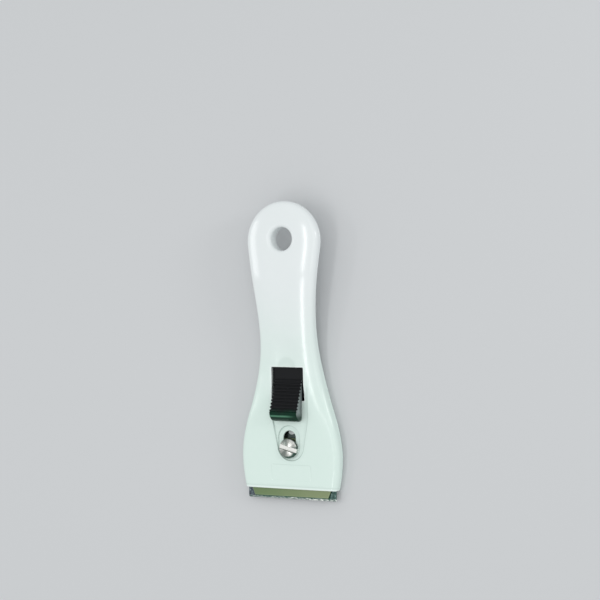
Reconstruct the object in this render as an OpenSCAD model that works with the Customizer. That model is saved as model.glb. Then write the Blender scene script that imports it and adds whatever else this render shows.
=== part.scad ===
// Retractable scraper for glass-ceramic hobs, lying on its back with the blade forward
// Lengths along the handle are measured from the mouth, where the blade comes out

/* [Housing outline] */
// Length of the housing from the mouth to the hanging end
body_len = 116.2; // [112:0.2:125]
// Width of the housing at the mouth
mouth_w = 41.8; // [41.6:0.1:44]
// How fast each side flares out from the mouth, sideways per length
mouth_flare = 0.2; // [0.1:0.05:0.3]
// Greatest width, across the hips
hip_w = 44.6; // [44:0.1:47]
// Distance from the mouth to the hips
hip_y = 12.5; // [10:0.5:15]
// Width across the shoulders, where the sides run in to the neck
shoulder_w = 36.6; // [35:0.1:39]
// Distance from the mouth to the shoulders
shoulder_y = 32; // [30:0.5:34]
// How fast each side runs in at the shoulders, sideways per length
shoulder_taper = 0.345; // [0.25:0.01:0.4]
// Width of the neck
neck_w = 24.8; // [23:0.1:28]
// Distance from the mouth to the neck
neck_y = 63; // [58:0.5:68]
// Radius of the rounded hanging end
head_r = 16.1; // [15:0.1:18]
// How fast the sides widen into the hanging end, sideways per length
head_taper = 0.125; // [0.08:0.005:0.2]
// Corner radius at the ends of the mouth
mouth_corner_r = 0.8; // [0.4:0.1:1.5]

/* [Housing profile] */
// Height of the housing at the mouth
mouth_t = 4.9; // [4.9:0.1:6]
// Height of the front face at the knee, where the handle starts to bend up
knee_t = 7.5; // [7.3:0.1:9]
// Distance from the mouth to the knee
knee_y = 46; // [44:0.5:50]
// How far the handle is raised at its hanging end
lift = 7.6; // [5:0.1:10]
// Distance from the mouth at which the back leaves the table
lift_start = 36; // [34:0.5:40]
// Distance from the mouth at which the handle is level again
lift_end = 92; // [86:0.5:95]
// Thickness of the hanging end
head_t = 5.6; // [5.4:0.1:7]
// Crown of the front face from its edge to its middle
crown = 1; // [0.6:0.1:1.2]
// Width of the crowned border round the front face
crown_w = 10; // [8:0.5:11]
// Edge radius of the front face
front_edge_r = 2.2; // [1.6:0.1:2.3]
// Edge radius of the back, which is also the height of the joint line
back_edge_r = 2; // [1.6:0.1:2]

/* [Walls] */
// Thickness of the rear shell's floor
floor_t = 1.2; // [1.1:0.05:1.3]
// Side wall of the handle
wall = 1.6; // [1.2:0.1:2]
// Front wall over the slide and the handle
front_wall = 1.35; // [1.2:0.05:1.5]
// Radius of the pins that join the two shells
pin_r = 1.4; // [1.2:0.1:1.6]
// Radial clearance of those pins in their sockets
pin_clear = 0.05; // [0.03:0.01:0.1]
// Wall of a pin socket
socket_wall = 1.1; // [0.9:0.1:1.1]
// How far the sockets rise above the joint line
socket_rise = 1.2; // [0.5:0.1:1.5]
// Distance from the mouth of the pin in the neck
neck_pin_y = 61; // [61:0.5:66]
// Distance from the mouth of the pin below the hanging end
upper_pin_y = 80; // [76:0.5:84]
// Distance from the mouth of the pins beside the slide
side_pin_y = 30; // [29:0.5:32]
// Width of the hollow beside the slide
pocket_w = 6; // [5.5:0.1:7]
// Wall between that hollow and the slide's channel
pocket_wall = 2; // [1.2:0.1:2.2]
// Distance from the mouth of that hollow's lower end
pocket_y = 25.5; // [24:0.5:26]
// Distance from the mouth of that hollow's upper end
pocket_end = 39; // [36:0.5:40]
// Solid length between the slide's channel and the hollow of the handle
bulkhead = 2.6; // [1.5:0.1:4]

/* [Hanging hole] */
// Radius of the hanging hole
hole_r = 4.7; // [4:0.05:5]
// Distance of the hole from the hanging end
hole_from_end = 15.2; // [14.8:0.1:16.5]
// Rounding of the hole's front rim
hole_round = 1.5; // [1:0.1:1.6]
// Chamfer of the hole's back rim
hole_chamfer = 0.4; // [0.2:0.1:0.8]
// Wall of the eyelet that lines the hole
eyelet_wall = 1.5; // [1.2:0.1:2]

/* [Blade] */
// Width of the blade
blade_w = 40; // [38:0.1:40]
// Length of the blade from its edge to its back
blade_len = 18.6; // [17:0.1:18.7]
// Thickness of the blade
blade_t = 0.3; // [0.25:0.01:0.4]
// How far the blade stands out of the mouth
blade_out = 4.2; // [4:0.1:4.3]
// Length of the ground edge
bevel_len = 0.9; // [0.5:0.1:1.5]
// Thickness left at the very edge
edge_t = 0.05; // [0.03:0.01:0.1]
// Radius of the pins that hold the blade square
blade_pin_r = 1.5; // [1:0.1:1.8]
// Sideways distance of those pins
blade_pin_x = 11; // [9:0.5:13]
// Distance of those pins from the mouth
blade_pin_y = 8; // [6:0.5:9]
// Clearance round those pins in the blade
blade_pin_clear = 0.1; // [0.05:0.05:0.2]

/* [Clamp plate] */
// Width of the plate's front edge
plate_front_w = 33.5; // [30:0.5:34]
// Greatest width of the plate
plate_w = 36.6; // [35:0.1:36.8]
// How far the plate stands out of the mouth
plate_out = 3.1; // [2.5:0.1:3.4]
// Length over which each side of the plate flares to its full width
plate_flare_len = 3.85; // [3:0.1:5]
// Thickness of the plate
plate_t = 0.9; // [0.7:0.05:0.95]
// Half width of the plate's back edge
plate_back_hw = 9; // [7:0.5:12]
// How far the plate reaches behind the screw
plate_behind = 3.9; // [3.5:0.1:4]
// Distance from the mouth at which the plate starts to narrow
plate_narrow_y = 13; // [11:0.5:14]
// How far the plate lifts when the screw is loosened
clamp_lift = 0.35; // [0.2:0.01:0.36]
// Gap above the plate when it is lifted
lift_clear = 0.1; // [0.05:0.01:0.11]

/* [Carriage] */
// Thickness of the steel carriage
carriage_t = 1; // [0.8:0.05:1]
// Width of the pad under the blade
pad_w = 34; // [30:0.5:35]
// Distance from the mouth of the pad's front edge, which lies under the blade
pad_front_y = -1.2; // [-2:0.1:-0.5]
// How far the pad reaches behind the screw
pad_behind = 3.7; // [3.6:0.1:4.2]
// Corner radius of the pad
pad_corner_r = 2; // [1:0.1:3]
// Width of the shank that carries the button
shank_w = 12; // [11:0.1:12.5]
// Length of travel from the blade out to the blade in
travel = 4.3; // [3.8:0.1:4.4]
// Gap between the carriage and the floor
run_clear = 0.2; // [0.1:0.05:0.25]
// Gap at each side of a sliding piece
side_clear = 0.15; // [0.1:0.01:0.2]

/* [Clamp screw] */
// Distance of the screw from the mouth with the blade out
screw_y = 16.6; // [16.5:0.1:17]
// Diameter of the screw's head
screw_head_d = 8; // [7:0.1:8.2]
// Height of the screw's head
screw_head_h = 2.2; // [1.8:0.1:2.6]
// Height of the dome on the screw's head
head_dome = 1.3; // [0.8:0.1:1.6]
// Diameter of the screw's shoulder, which runs in the slot
shoulder_d = 5.2; // [4.8:0.1:5.3]
// Diameter of the screw's thread
thread_d = 4; // [3.8:0.1:4.1]
// Radial clearance of the thread in its bush
thread_clear = 0.05; // [0.02:0.01:0.1]
// Width of the slot for the screwdriver
driver_w = 1.3; // [1:0.1:1.6]
// Depth of the slot for the screwdriver
driver_depth = 1.1; // [0.8:0.1:1.4]
// Direction of the slot for the screwdriver, in degrees
driver_angle = -14; // [-90:1:90]
// Gap between the head and the housing
head_clear = 0.15; // [0.1:0.05:0.3]
// Width of the slot that the screw travels in
slot_w = 5.6; // [5.5:0.1:6]
// Radius of the recess round the slot
ring_r = 4.95; // [4.5:0.05:5.1]
// Distance from the screw to the middle of that recess's lower end
ring_shift = 0.5; // [0.3:0.1:0.8]
// Wall left under that recess
ring_wall = 1.1; // [0.9:0.05:1.15]
// Diameter of the threaded bush's body, set in the carriage
bush_d = 5.6; // [5.2:0.1:6]
// Diameter of the threaded bush's flange
bush_flange_d = 7; // [6.6:0.1:7.2]
// Height of the bush's flange below the carriage
bush_flange_t = 0.65; // [0.4:0.05:0.7]

/* [Button] */
// Width of the button
button_w = 12; // [11:0.1:12.6]
// Distance from the mouth of the button's nose
nose_y = 27.5; // [27:0.1:28]
// Length of the rounded nose
nose_len = 3.9; // [3:0.1:4.5]
// Height of the button's top above the table
button_top = 11.5; // [10:0.1:13]
// Distance from the mouth of the foot of the ramp
ramp_end_y = 45.2; // [44.5:0.1:45.2]
// Corner radius of the nose, seen from the front
nose_corner_r = 1.3; // [0.8:0.1:2]
// Pitch of the ribs across the ramp
rib_pitch = 1.25; // [1:0.05:2]
// Depth of the grooves between the ribs
rib_depth = 0.35; // [0.2:0.05:0.5]
// Length of the tongue that slides under the front wall
tongue_len = 5.4; // [4.8:0.1:5.6]
// Thickness of the tongue
tongue_t = 0.9; // [0.7:0.1:1]
// Width of the tongue
tongue_w = 13.8; // [12.5:0.1:14]
// Gap under the button where it slides over the housing
button_clear = 0.25; // [0.15:0.05:0.3]
// Length of the button's foot on the carriage
foot_len = 13; // [12:0.1:13.1]
// Height of the button's foot
foot_h = 1.9; // [1.5:0.1:1.95]
// Radius of the pegs that hold the button on the carriage
peg_r = 1.2; // [1:0.1:1.4]
// Clearance round the pegs
peg_clear = 0.05; // [0.03:0.01:0.1]
// Distance between the two pegs
peg_pitch = 4.4; // [4:0.1:5]
// Distance from the button's foot to the first peg, and from the last peg to the carriage's end
peg_edge = 2.2; // [1.8:0.1:2.4]

/* [Window] */
// Width of the window for the button
window_w = 14.4; // [14.2:0.1:15]
// Distance from the mouth of the window's lower edge
window_y = 35.9; // [35.5:0.1:36]
// Length of the window
window_len = 13.5; // [13.5:0.1:14]
// Half width of the recess beside the button
recess_hw = 8.4; // [8:0.1:9]
// Height of the recess floor above the table
recess_z = 5.95; // [5.95:0.01:6]
// Depth of the recess round the screw
recess_depth = 0.4; // [0.3:0.05:0.45]
// Distance from the screw to the middle of the recess's round end
recess_end_shift = 0.8; // [0.4:0.1:1]
// Length over which the recess runs out beside the window
recess_run_out = 7; // [4:0.5:9]
// Radius of the recess's round lower end
recess_end_r = 5.35; // [5.3:0.05:5.6]
// Radius of the dished thumb relief above the window
relief_r = 4.4; // [3.5:0.1:5]
// Depth of that relief
relief_depth = 0.6; // [0.4:0.05:0.7]
// Chamfer along the front edge of the mouth
lip = 0.5; // [0.3:0.05:0.6]

/* [Detent spring] */
// Thickness of the spring strip
spring_t = 0.3; // [0.2:0.05:0.35]
// Width of the spring strip
spring_w = 5; // [4:0.1:7]
// Distance from the spring's hump to the button's foot
hump_gap = 3.2; // [2.7:0.1:3.7]
// Gap between the hump and the wall it clicks on
hump_clear = 0.05; // [0.02:0.01:0.1]
// Half length of the hump
hump_hl = 0.8; // [0.6:0.1:1]
// Height of the hump above the strip's slope
hump_h = 0.5; // [0.3:0.1:0.7]
// Depth of the two notches that the hump clicks into
notch_depth = 0.3; // [0.2:0.05:0.4]
// Radius of the rivet's shank
rivet_r = 1; // [0.8:0.1:1.2]
// Radius of the rivet's head
rivet_head_r = 1.6; // [1.4:0.1:1.9]
// Height of the rivet's head
rivet_head_t = 0.5; // [0.3:0.1:0.7]
// Distance of the rivet from the screw
rivet_gap = 7; // [6.8:0.1:7.4]
// Length of the strip on each side of the rivet
rivet_land = 1.8; // [1.7:0.1:1.9]

/* [Hidden] */

// Smoothness of the round cuts and of the long sides
$fn = 48;
side_steps = 27;
hollow_steps = 12;
head_steps = 12;
// How far a cut runs past the face that it opens
past = 0.5;
// A height above everything, and a length beyond each end
sky = 30;
beyond = 20;

// The origin lies under the middle of the part, from the blade's edge to the hanging end
mouth_y = -(body_len - blade_out) / 2;

// The round end meets the sides where they have its slope
head_y = body_len - head_r;
head_a = atan(head_taper);
head_join = [head_r * cos(head_a), head_y - head_r * sin(head_a)];

// Stations of the half width and of the heights: distance from the mouth, value, slope
width_at = [[0, mouth_w / 2, mouth_flare], [hip_y, hip_w / 2, 0], [shoulder_y, shoulder_w / 2, -shoulder_taper],
            [neck_y, neck_w / 2, 0], [head_join.y, head_join.x, head_taper]];
front_slope = (knee_t - mouth_t) / knee_y;
back_at = [[-beyond, 0, 0], [lift_start, 0, 0], [lift_end, lift, 0], [body_len + beyond, lift, 0]];
front_at = [[-beyond, mouth_t - beyond * front_slope, front_slope], [knee_y, knee_t, front_slope],
            [lift_end, lift + head_t, 0], [body_len + beyond, lift + head_t, 0]];

// Heights of the stacked pieces
carriage_z = floor_t + run_clear;
blade_z = carriage_z + carriage_t;
plate_z = blade_z + blade_t;
plate_top = plate_z + plate_t;
ceiling_z = plate_top + clamp_lift + lift_clear;
ring_z = ceiling_z + ring_wall;
head_z = ring_z + head_clear;
channel_z = recess_z - front_wall;
tongue_top = front_z(window_y + window_len) - front_wall - button_clear;
button_z = recess_z + button_clear;

// Lengths from the mouth
window_end = window_y + window_len;
screw_end = screw_y + travel;
blade_back = blade_len - blade_out;
foot_end = ramp_end_y;
foot_y = foot_end - foot_len;
stem_y = window_y + 2 * side_clear;
peg_y = foot_y + peg_edge;
shank_end = peg_y + peg_pitch + peg_edge;
hump_y = foot_y - hump_gap;
rivet_y = screw_y + rivet_gap;
recess_end_y = screw_y + recess_end_shift;
recess_knee_y = nose_y + nose_corner_r;
recess_top_y = window_y + recess_run_out;
tongue_end = ramp_end_y + tongue_len;
hollow_y = tongue_end + travel + bulkhead;
channel_w = window_w + 2 * side_clear;
pocket_x = (channel_w + pocket_w) / 2 + pocket_wall;
pad_end = screw_y + pad_behind;
plate_end = screw_y + plate_behind;
hole_y = body_len - hole_from_end;
eyelet_r = hole_r + eyelet_wall;
rivet_seat = blade_z + spring_t;

// A smooth curve through stations, by cubic pieces
function cubic(a, b, t, w) = (2 * t ^ 3 - 3 * t ^ 2 + 1) * a[1] + (t ^ 3 - 2 * t ^ 2 + t) * w * a[2]
    + (3 * t ^ 2 - 2 * t ^ 3) * b[1] + (t ^ 3 - t ^ 2) * w * b[2];
function along(at, u, i = 0) = i + 2 < len(at) && u > at[i + 1][0] ? along(at, u, i + 1)
    : cubic(at[i], at[i + 1], (u - at[i][0]) / (at[i + 1][0] - at[i][0]), at[i + 1][0] - at[i][0]);
function half_w(u) = along(width_at, u);
function half_slope(u) = (half_w(u + 0.05) - half_w(u - 0.05)) / 0.1;
function back_z(u) = along(back_at, u);
function front_z(u) = along(front_at, u);

// A point of the outline with its outward normal: sideways, along, normal sideways, normal along
function side_point(u) = let (s = half_slope(u)) [half_w(u), u, 1 / sqrt(1 + s ^ 2), -s / sqrt(1 + s ^ 2)];
function mouth_side() = [for (a = [0:30:60]) let (u = mouth_corner_r * (1 - cos(a)))
    [half_w(u) - mouth_corner_r * (1 - sin(a)), u, 1, 0]];
function long_side(from, to, steps) = [for (i = [0:steps]) side_point(from + (to - from) * i / steps)];
function head_side() = [for (i = [1:head_steps]) let (a = -head_a + (90 + head_a) * i / head_steps)
    [i == head_steps ? 0 : head_r * cos(a), head_y + head_r * sin(a), i == head_steps ? 0 : cos(a), sin(a)]];
function whole_side() = concat(mouth_side(), long_side(mouth_corner_r, head_join.y, side_steps), head_side());

// One closed ring, drawn in from the outline by d, at the height that z gives
function ring(side, d, z) = let (q = [for (p = side) [p[0] - d * p[2], p[1] - d * p[3]]], n = len(q) - 1,
    left = q[n][0] < 0.001 ? n - 1 : n)
    concat([for (p = q) [p.x, p.y, z(p.y)]], [for (i = [left:-1:0]) [-q[i].x, q[i].y, z(q[i].y)]]);

// A solid of stacked rings, listed from the lowest to the highest, closed by a flat-across cap at each end
module stack_of_rings(side, layers) {
    n = len(side);
    rings = [for (l = layers) ring(side, l[0], l[1])];
    m = len(rings[0]);
    top = m * (len(layers) - 1);
    walls = [for (k = [0:len(layers) - 2]) for (i = [0:m - 1]) let (j = (i + 1) % m, a = k * m, b = a + m)
        each [[a + j, a + i, b + i], [a + j, b + i, b + j]]];
    rungs = [for (i = [0:n - 2]) m - 2 - i > i + 1 ? [i, i + 1, m - 2 - i, m - 1 - i] : [i, i + 1, m - 1 - i]];
    below = rungs;
    above = [for (r = rungs) [for (k = [len(r) - 1:-1:0]) top + r[k]]];
    polyhedron([for (r = rings) each r], concat(walls, below, above), convexity = 8);
}

// Height of the crowned front face, at the distance d in from the outline
function crown_drop(d) = crown * (1 - min(d, crown_w) / crown_w) ^ 2;
edge_slope = atan(2 * crown / crown_w * (1 - front_edge_r / crown_w));
edge_top = crown_drop(front_edge_r) + front_edge_r * cos(edge_slope);

module front_skin() {
    edge = [for (a = [0, 25, 50, 90 - edge_slope]) [front_edge_r * (1 - cos(a)),
        function (u) front_z(u) - edge_top + front_edge_r * sin(a)]];
    face = [for (d = [0.38, 0.56, 0.77, 1] * crown_w) [d, function (u) front_z(u) - crown_drop(d)]];
    joint = [[0, function (u) back_z(u) + back_edge_r]];
    stack_of_rings(whole_side(), concat(joint, edge, face));
}

module rear_skin() {
    edge = [for (a = [90:-22.5:0]) [back_edge_r * (1 - cos(a)),
        function (u) back_z(u) + back_edge_r * (1 - sin(a))]];
    stack_of_rings(whole_side(), edge);
}

// The hollow of the handle and its hanging end, between two heights
module handle_hollow(low, high) {
    stack_of_rings(concat(long_side(hollow_y, head_join.y, hollow_steps), head_side()), [[wall, low], [wall, high]]);
}

module at(x, y, z = 0) {
    translate([x, y, z]) children();
}

// A block across the part, from y0 to y1 and from z0 to z1
module block(w, y0, y1, z0, z1) {
    translate([-w / 2, y0, z0]) cube([w, y1 - y0, z1 - z0]);
}

// A side profile drawn as distance from the mouth and height, run across the part
module across(w, points) {
    translate([-w / 2, 0, 0]) rotate([90, 0, 90]) linear_extrude(w) polygon(points);
}

// A round-ended slot along the part
module long_slot(r, y0, y1, z0, z1) {
    block(2 * r, y0, y1, z0, z1);
    for (y = [y0, y1]) at(0, y, z0) cylinder(r = r, h = z1 - z0);
}

// A slab with rounded corners
module slab(w, y0, y1, r, z0, z1) {
    block(w - 2 * r, y0, y1, z0, z1);
    block(w, y0 + r, y1 - r, z0, z1);
    for (x = [-1, 1] * (w / 2 - r)) for (y = [y0 + r, y1 - r]) at(x, y, z0) cylinder(r = r, h = z1 - z0);
}

// The hollows on both sides of the slide
module side_pockets(z0, z1) {
    for (x = [-1, 1] * pocket_x) at(x, 0) block(pocket_w, pocket_y, pocket_end, z0, z1);
}

module shell_pins() {
    for (y = [neck_pin_y, upper_pin_y]) at(0, y) children();
    for (x = [-1, 1] * pocket_x) at(x, side_pin_y) children();
}

// Plan of the shallow recess: straight beside the button, then drawn in to a round end at the screw
function recess_plan() = let (lean = atan((recess_hw - recess_end_r) / (recess_knee_y - recess_end_y)),
    arc = [for (a = [-90:10:-lean]) [recess_end_r * cos(a), recess_end_y + recess_end_r * sin(a)]])
    concat(arc, [[recess_hw, recess_knee_y], [recess_hw, recess_top_y]],
           [[-recess_hw, recess_top_y], [-recess_hw, recess_knee_y]],
           [for (i = [len(arc) - 1:-1:1]) [-arc[i].x, arc[i].y]]);

module front_recess() {
    low_y = screw_y - 2 * recess_end_r;
    intersection() {
        linear_extrude(sky) polygon(recess_plan());
        across(2 * recess_hw + past, [[low_y, front_z(low_y) - recess_depth], [recess_knee_y, recess_z],
            [window_y + past, recess_z], [recess_top_y, front_z(recess_top_y)], [recess_top_y, sky], [low_y, sky]]);
    }
}

// The rounded rim of the hanging hole
module hole_rim() {
    at(0, hole_y, lift + head_t - hole_round) rotate_extrude() difference() {
        translate([hole_r - past, 0]) square([hole_round + past, hole_round + past]);
        translate([hole_r + hole_round, 0]) circle(r = hole_round);
    }
}

module front_shell() {
    color("whitesmoke") at(0, mouth_y) {
        difference() {
            union() {
                difference() {
                    front_skin();
                    handle_hollow(function (u) back_z(u), function (u) front_z(u) - front_wall - crown / 4);
                }
                // The eyelet reaches through the rear shell to the back
                at(0, hole_y, lift) cylinder(r = eyelet_r, h = head_t - front_wall / 2);
            }
            // Room for the blade, the plate and the carriage's pad
            block(blade_w + 2 * side_clear, -past, blade_back + travel + run_clear, 0, plate_z + run_clear);
            block(plate_w + 4 * side_clear, -past, plate_end + travel + run_clear, 0, ceiling_z);
            // Channel for the button's foot and the spring, then the window and the tongue's way
            block(channel_w, screw_y, foot_end + travel + run_clear, 0, channel_z);
            block(window_w, window_y, window_end, 0, sky);
            block(window_w, window_y, tongue_end + travel + run_clear, 0, tongue_top + button_clear / 2);
            side_pockets(0, channel_z);
            // The slot for the screw, with its recess
            long_slot(slot_w / 2, screw_y, screw_end, 0, sky);
            long_slot(ring_r, screw_y + ring_shift, screw_end, ring_z, sky);
            front_recess();
            // Notches for the spring's hump at the two ends of the travel
            for (y = [hump_y, hump_y + travel]) across(spring_w + past, [[y - hump_hl, channel_z - past],
                [y - hump_hl, channel_z], [y, channel_z + notch_depth], [y + hump_hl, channel_z],
                [y + hump_hl, channel_z - past]]);
            // Thumb relief above the window
            relief_ball = (relief_r ^ 2 + relief_depth ^ 2) / (2 * relief_depth);
            at(0, window_end, front_z(window_end) - relief_depth + relief_ball) sphere(r = relief_ball, $fn = 96);
            // Chamfer along the mouth
            across(2 * hip_w, [[-past, mouth_t - lip - past], [-past, sky], [lip + past, sky],
                [lip + past, mouth_t + past], [0, mouth_t - lip]]);
            // The hanging hole
            at(0, hole_y) cylinder(r = hole_r, h = sky);
            hole_rim();
            at(0, hole_y, lift - past) cylinder(r1 = hole_r + hole_chamfer + past, r2 = hole_r,
                                                h = hole_chamfer + past);
        }
        // Pins that reach down into the rear shell's sockets
        intersection() {
            shell_pins() cylinder(r = pin_r, h = sky);
            stack_of_rings(whole_side(), [[wall, function (u) back_z(u) + floor_t],
                                          [wall, function (u) front_z(u) - front_wall]]);
        }
    }
}

module rear_shell() {
    color("white") at(0, mouth_y) difference() {
        union() {
            difference() {
                rear_skin();
                handle_hollow(function (u) back_z(u) + floor_t, function (u) back_z(u) + sky);
                // Beds for the carriage's pad and shank
                block(pad_w + 2 * side_clear, -past, pad_end + travel + run_clear, floor_t, sky);
                block(shank_w + 2 * side_clear, pad_end, shank_end + travel + run_clear, floor_t, sky);
                block(channel_w, foot_y - past, foot_end + travel + run_clear, blade_z - side_clear, sky);
                side_pockets(floor_t, sky);
            }
            // Sockets for the front shell's pins
            intersection() {
                shell_pins() cylinder(r = pin_r + pin_clear + socket_wall, h = sky);
                stack_of_rings(whole_side(), [[wall, function (u) back_z(u) + floor_t / 2],
                                              [wall, function (u) back_z(u) + back_edge_r + socket_rise]]);
            }
        }
        // Groove for the bush's flange
        long_slot(bush_flange_d / 2 + 3 * side_clear, screw_y, screw_end,
                  carriage_z - bush_flange_t - run_clear, sky);
        intersection() {
            shell_pins() cylinder(r = pin_r + pin_clear, h = sky);
            stack_of_rings(whole_side(), [[0, function (u) back_z(u) + floor_t], [0, function (u) sky]]);
        }
        at(0, hole_y) cylinder(r = eyelet_r + pin_clear, h = sky);
    }
}

// The ramp of the button, from the top of the nose to the tongue, with a groove between ribs
function ramp(t) = [nose_y + nose_len + (ramp_end_y - nose_y - nose_len) * t,
                    button_top + (tongue_top - button_top) * t];
function ribbed_ramp() = let (run = ramp_end_y - nose_y - nose_len, count = floor(run / rib_pitch))
    [for (i = [0:count - 1]) for (k = [0.1, 0.4, 0.6, 0.9]) let (p = ramp((i + k) / count))
        [p.x, p.y - (k > 0.3 && k < 0.7 ? rib_depth : 0)]];

module slide_button() {
    nose = [for (a = [0:15:90]) [nose_y + nose_len * (1 - sin(a)), button_z + (button_top - button_z) * cos(a)]];
    color([0.1, 0.1, 0.11]) at(0, mouth_y) {
        intersection() {
            across(button_w, concat([for (i = [len(nose) - 1:-1:0]) [nose[i].x, nose[i].y]], ribbed_ramp(),
                [[ramp_end_y, tongue_top], [foot_end, blade_z], [foot_y, blade_z],
                 [foot_y, blade_z + foot_h], [stem_y, blade_z + foot_h], [stem_y, button_z]]));
            slab(button_w, nose_y, ramp_end_y + nose_corner_r, nose_corner_r, 0, sky);
        }
        block(tongue_w, ramp_end_y - tongue_t, tongue_end, tongue_top - tongue_t, tongue_top);
        for (y = [peg_y, peg_y + peg_pitch]) at(0, y, carriage_z) cylinder(r = peg_r, h = carriage_t);
    }
}

module blade_carriage() {
    color("silver") at(0, mouth_y) difference() {
        union() {
            slab(pad_w, pad_front_y, pad_end, pad_corner_r, carriage_z, blade_z);
            slab(shank_w, screw_y, shank_end, pad_corner_r, carriage_z, blade_z);
        }
        at(0, screw_y) cylinder(r = bush_d / 2, h = sky);
        for (x = [-1, 1] * blade_pin_x) at(x, blade_pin_y) cylinder(r = blade_pin_r, h = sky);
        for (y = [peg_y, peg_y + peg_pitch]) at(0, y) cylinder(r = peg_r + peg_clear, h = sky);
        at(0, rivet_y) cylinder(r = rivet_r, h = sky);
    }
}

module threaded_bush() {
    color("lightsteelblue") at(0, mouth_y + screw_y) difference() {
        union() {
            at(0, 0, carriage_z) cylinder(r = bush_d / 2, h = carriage_t);
            at(0, 0, carriage_z - bush_flange_t) cylinder(r = bush_flange_d / 2, h = bush_flange_t);
        }
        cylinder(r = thread_d / 2, h = sky);
    }
}

module blade_pins() {
    for (x = [-1, 1] * blade_pin_x) color("gainsboro") at(x, mouth_y + blade_pin_y, carriage_z)
        cylinder(r = blade_pin_r, h = carriage_t + blade_t - blade_pin_clear / 2);
}

module scraper_blade() {
    color("slategray") at(0, mouth_y) difference() {
        across(blade_w, [[-blade_out, blade_z], [-blade_out, blade_z + edge_t],
            [bevel_len - blade_out, plate_z], [blade_back, plate_z], [blade_back, blade_z]]);
        for (x = [-1, 1] * blade_pin_x) at(x, blade_pin_y) cylinder(r = blade_pin_r + blade_pin_clear, h = sky);
    }
}

module clamp_plate() {
    plan = [[plate_front_w / 2, -plate_out], [plate_w / 2, plate_flare_len - plate_out],
            [plate_w / 2, plate_narrow_y], [plate_back_hw, plate_end]];
    color([0.58, 0.59, 0.44]) at(0, mouth_y) difference() {
        at(0, 0, plate_z) linear_extrude(plate_t)
            polygon(concat(plan, [for (i = [len(plan) - 1:-1:0]) [-plan[i].x, plan[i].y]]));
        at(0, screw_y) cylinder(r = thread_d / 2 + side_clear, h = sky);
    }
}

module clamp_screw() {
    // The head is a low dome over a short straight rim
    ball = ((screw_head_d / 2) ^ 2 + head_dome ^ 2) / (2 * head_dome);
    color("silver") at(0, mouth_y + screw_y) {
        difference() {
            intersection() {
                at(0, 0, head_z) cylinder(r = screw_head_d / 2, h = screw_head_h);
                at(0, 0, head_z + screw_head_h - ball) sphere(r = ball, $fn = 96);
            }
            at(0, 0, head_z + screw_head_h - driver_depth) rotate(driver_angle)
                translate([-screw_head_d, -driver_w / 2, 0]) cube([2 * screw_head_d, driver_w, sky]);
        }
        at(0, 0, plate_top) cylinder(r = shoulder_d / 2, h = head_z - plate_top);
        at(0, 0, carriage_z - bush_flange_t)
            cylinder(r = thread_d / 2 - thread_clear, h = plate_top - carriage_z + bush_flange_t);
    }
}

module detent_spring() {
    top = channel_z - hump_clear;
    upper = [[rivet_y - rivet_land, rivet_seat], [rivet_y + rivet_land, rivet_seat],
             [hump_y - hump_hl, top - hump_h], [hump_y, top], [hump_y + hump_hl, top - hump_h],
             [hump_y + 2 * hump_hl, top - 2 * hump_h]];
    color("lightgray") at(0, mouth_y) difference() {
        across(spring_w, concat(upper, [for (i = [len(upper) - 1:-1:0]) [upper[i].x, upper[i].y - spring_t]]));
        at(0, rivet_y) cylinder(r = rivet_r, h = sky);
    }
}

module spring_rivet() {
    color("gainsboro") at(0, mouth_y + rivet_y) {
        at(0, 0, carriage_z) cylinder(r = rivet_r, h = rivet_seat - carriage_z);
        at(0, 0, rivet_seat) cylinder(r = rivet_head_r, h = rivet_head_t);
    }
}

front_shell();
rear_shell();
slide_button();
blade_carriage();
threaded_bush();
blade_pins();
scraper_blade();
clamp_plate();
clamp_screw();
detent_spring();
spring_rivet();
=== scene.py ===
"""Looks of the retractable hob scraper: moulded shells, ribbed button, blade, clamp plate and screw.

Sizes in the classes are in millimetres. In plan, x runs across the scraper and u is the distance
from the mouth, where the blade comes out; heights are above the table that the scraper lies on.
"""

import logging
import math
from dataclasses import dataclass
from enum import Enum
from typing import Callable, Sequence

import bmesh
import bpy
import numpy as np
from mathutils import Matrix, Vector, geometry


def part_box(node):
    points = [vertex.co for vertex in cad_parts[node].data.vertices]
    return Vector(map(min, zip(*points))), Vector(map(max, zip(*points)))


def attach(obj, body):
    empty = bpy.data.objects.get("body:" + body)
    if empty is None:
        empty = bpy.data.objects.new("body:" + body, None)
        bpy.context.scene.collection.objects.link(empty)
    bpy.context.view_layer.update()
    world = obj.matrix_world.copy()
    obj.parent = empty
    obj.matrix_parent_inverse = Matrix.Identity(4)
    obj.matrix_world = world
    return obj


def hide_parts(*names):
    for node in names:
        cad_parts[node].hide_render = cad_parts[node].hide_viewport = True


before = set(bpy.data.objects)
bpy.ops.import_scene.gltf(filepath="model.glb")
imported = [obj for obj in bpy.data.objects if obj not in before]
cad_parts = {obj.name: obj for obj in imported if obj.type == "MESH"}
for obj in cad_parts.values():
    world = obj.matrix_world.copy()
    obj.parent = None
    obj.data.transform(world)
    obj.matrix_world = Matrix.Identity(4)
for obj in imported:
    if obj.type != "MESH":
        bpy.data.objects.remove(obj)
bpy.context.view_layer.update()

LOG = logging.getLogger("scraper")
MM = 0.001
CREASE = 32.0
MOUTH_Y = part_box("front_shell")[0].y / MM

Array = np.ndarray
Height = Callable[[Array, Array], Array]


class Body(Enum):
    """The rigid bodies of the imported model."""

    HOUSING = "housing"
    SLIDER = "slider"
    CLAMP = "clamp"
    SCREW = "screw"


class Slot(Enum):
    """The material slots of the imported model."""

    HOUSING = "housing_plastic"
    BUTTON = "button_plastic"
    ZINC = "zinc_steel"
    BLADE = "blade_steel"
    PLATE = "plate_steel"
    SCREW = "screw_nickel"
    SPRING = "spring_steel"


# Shader maths


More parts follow.
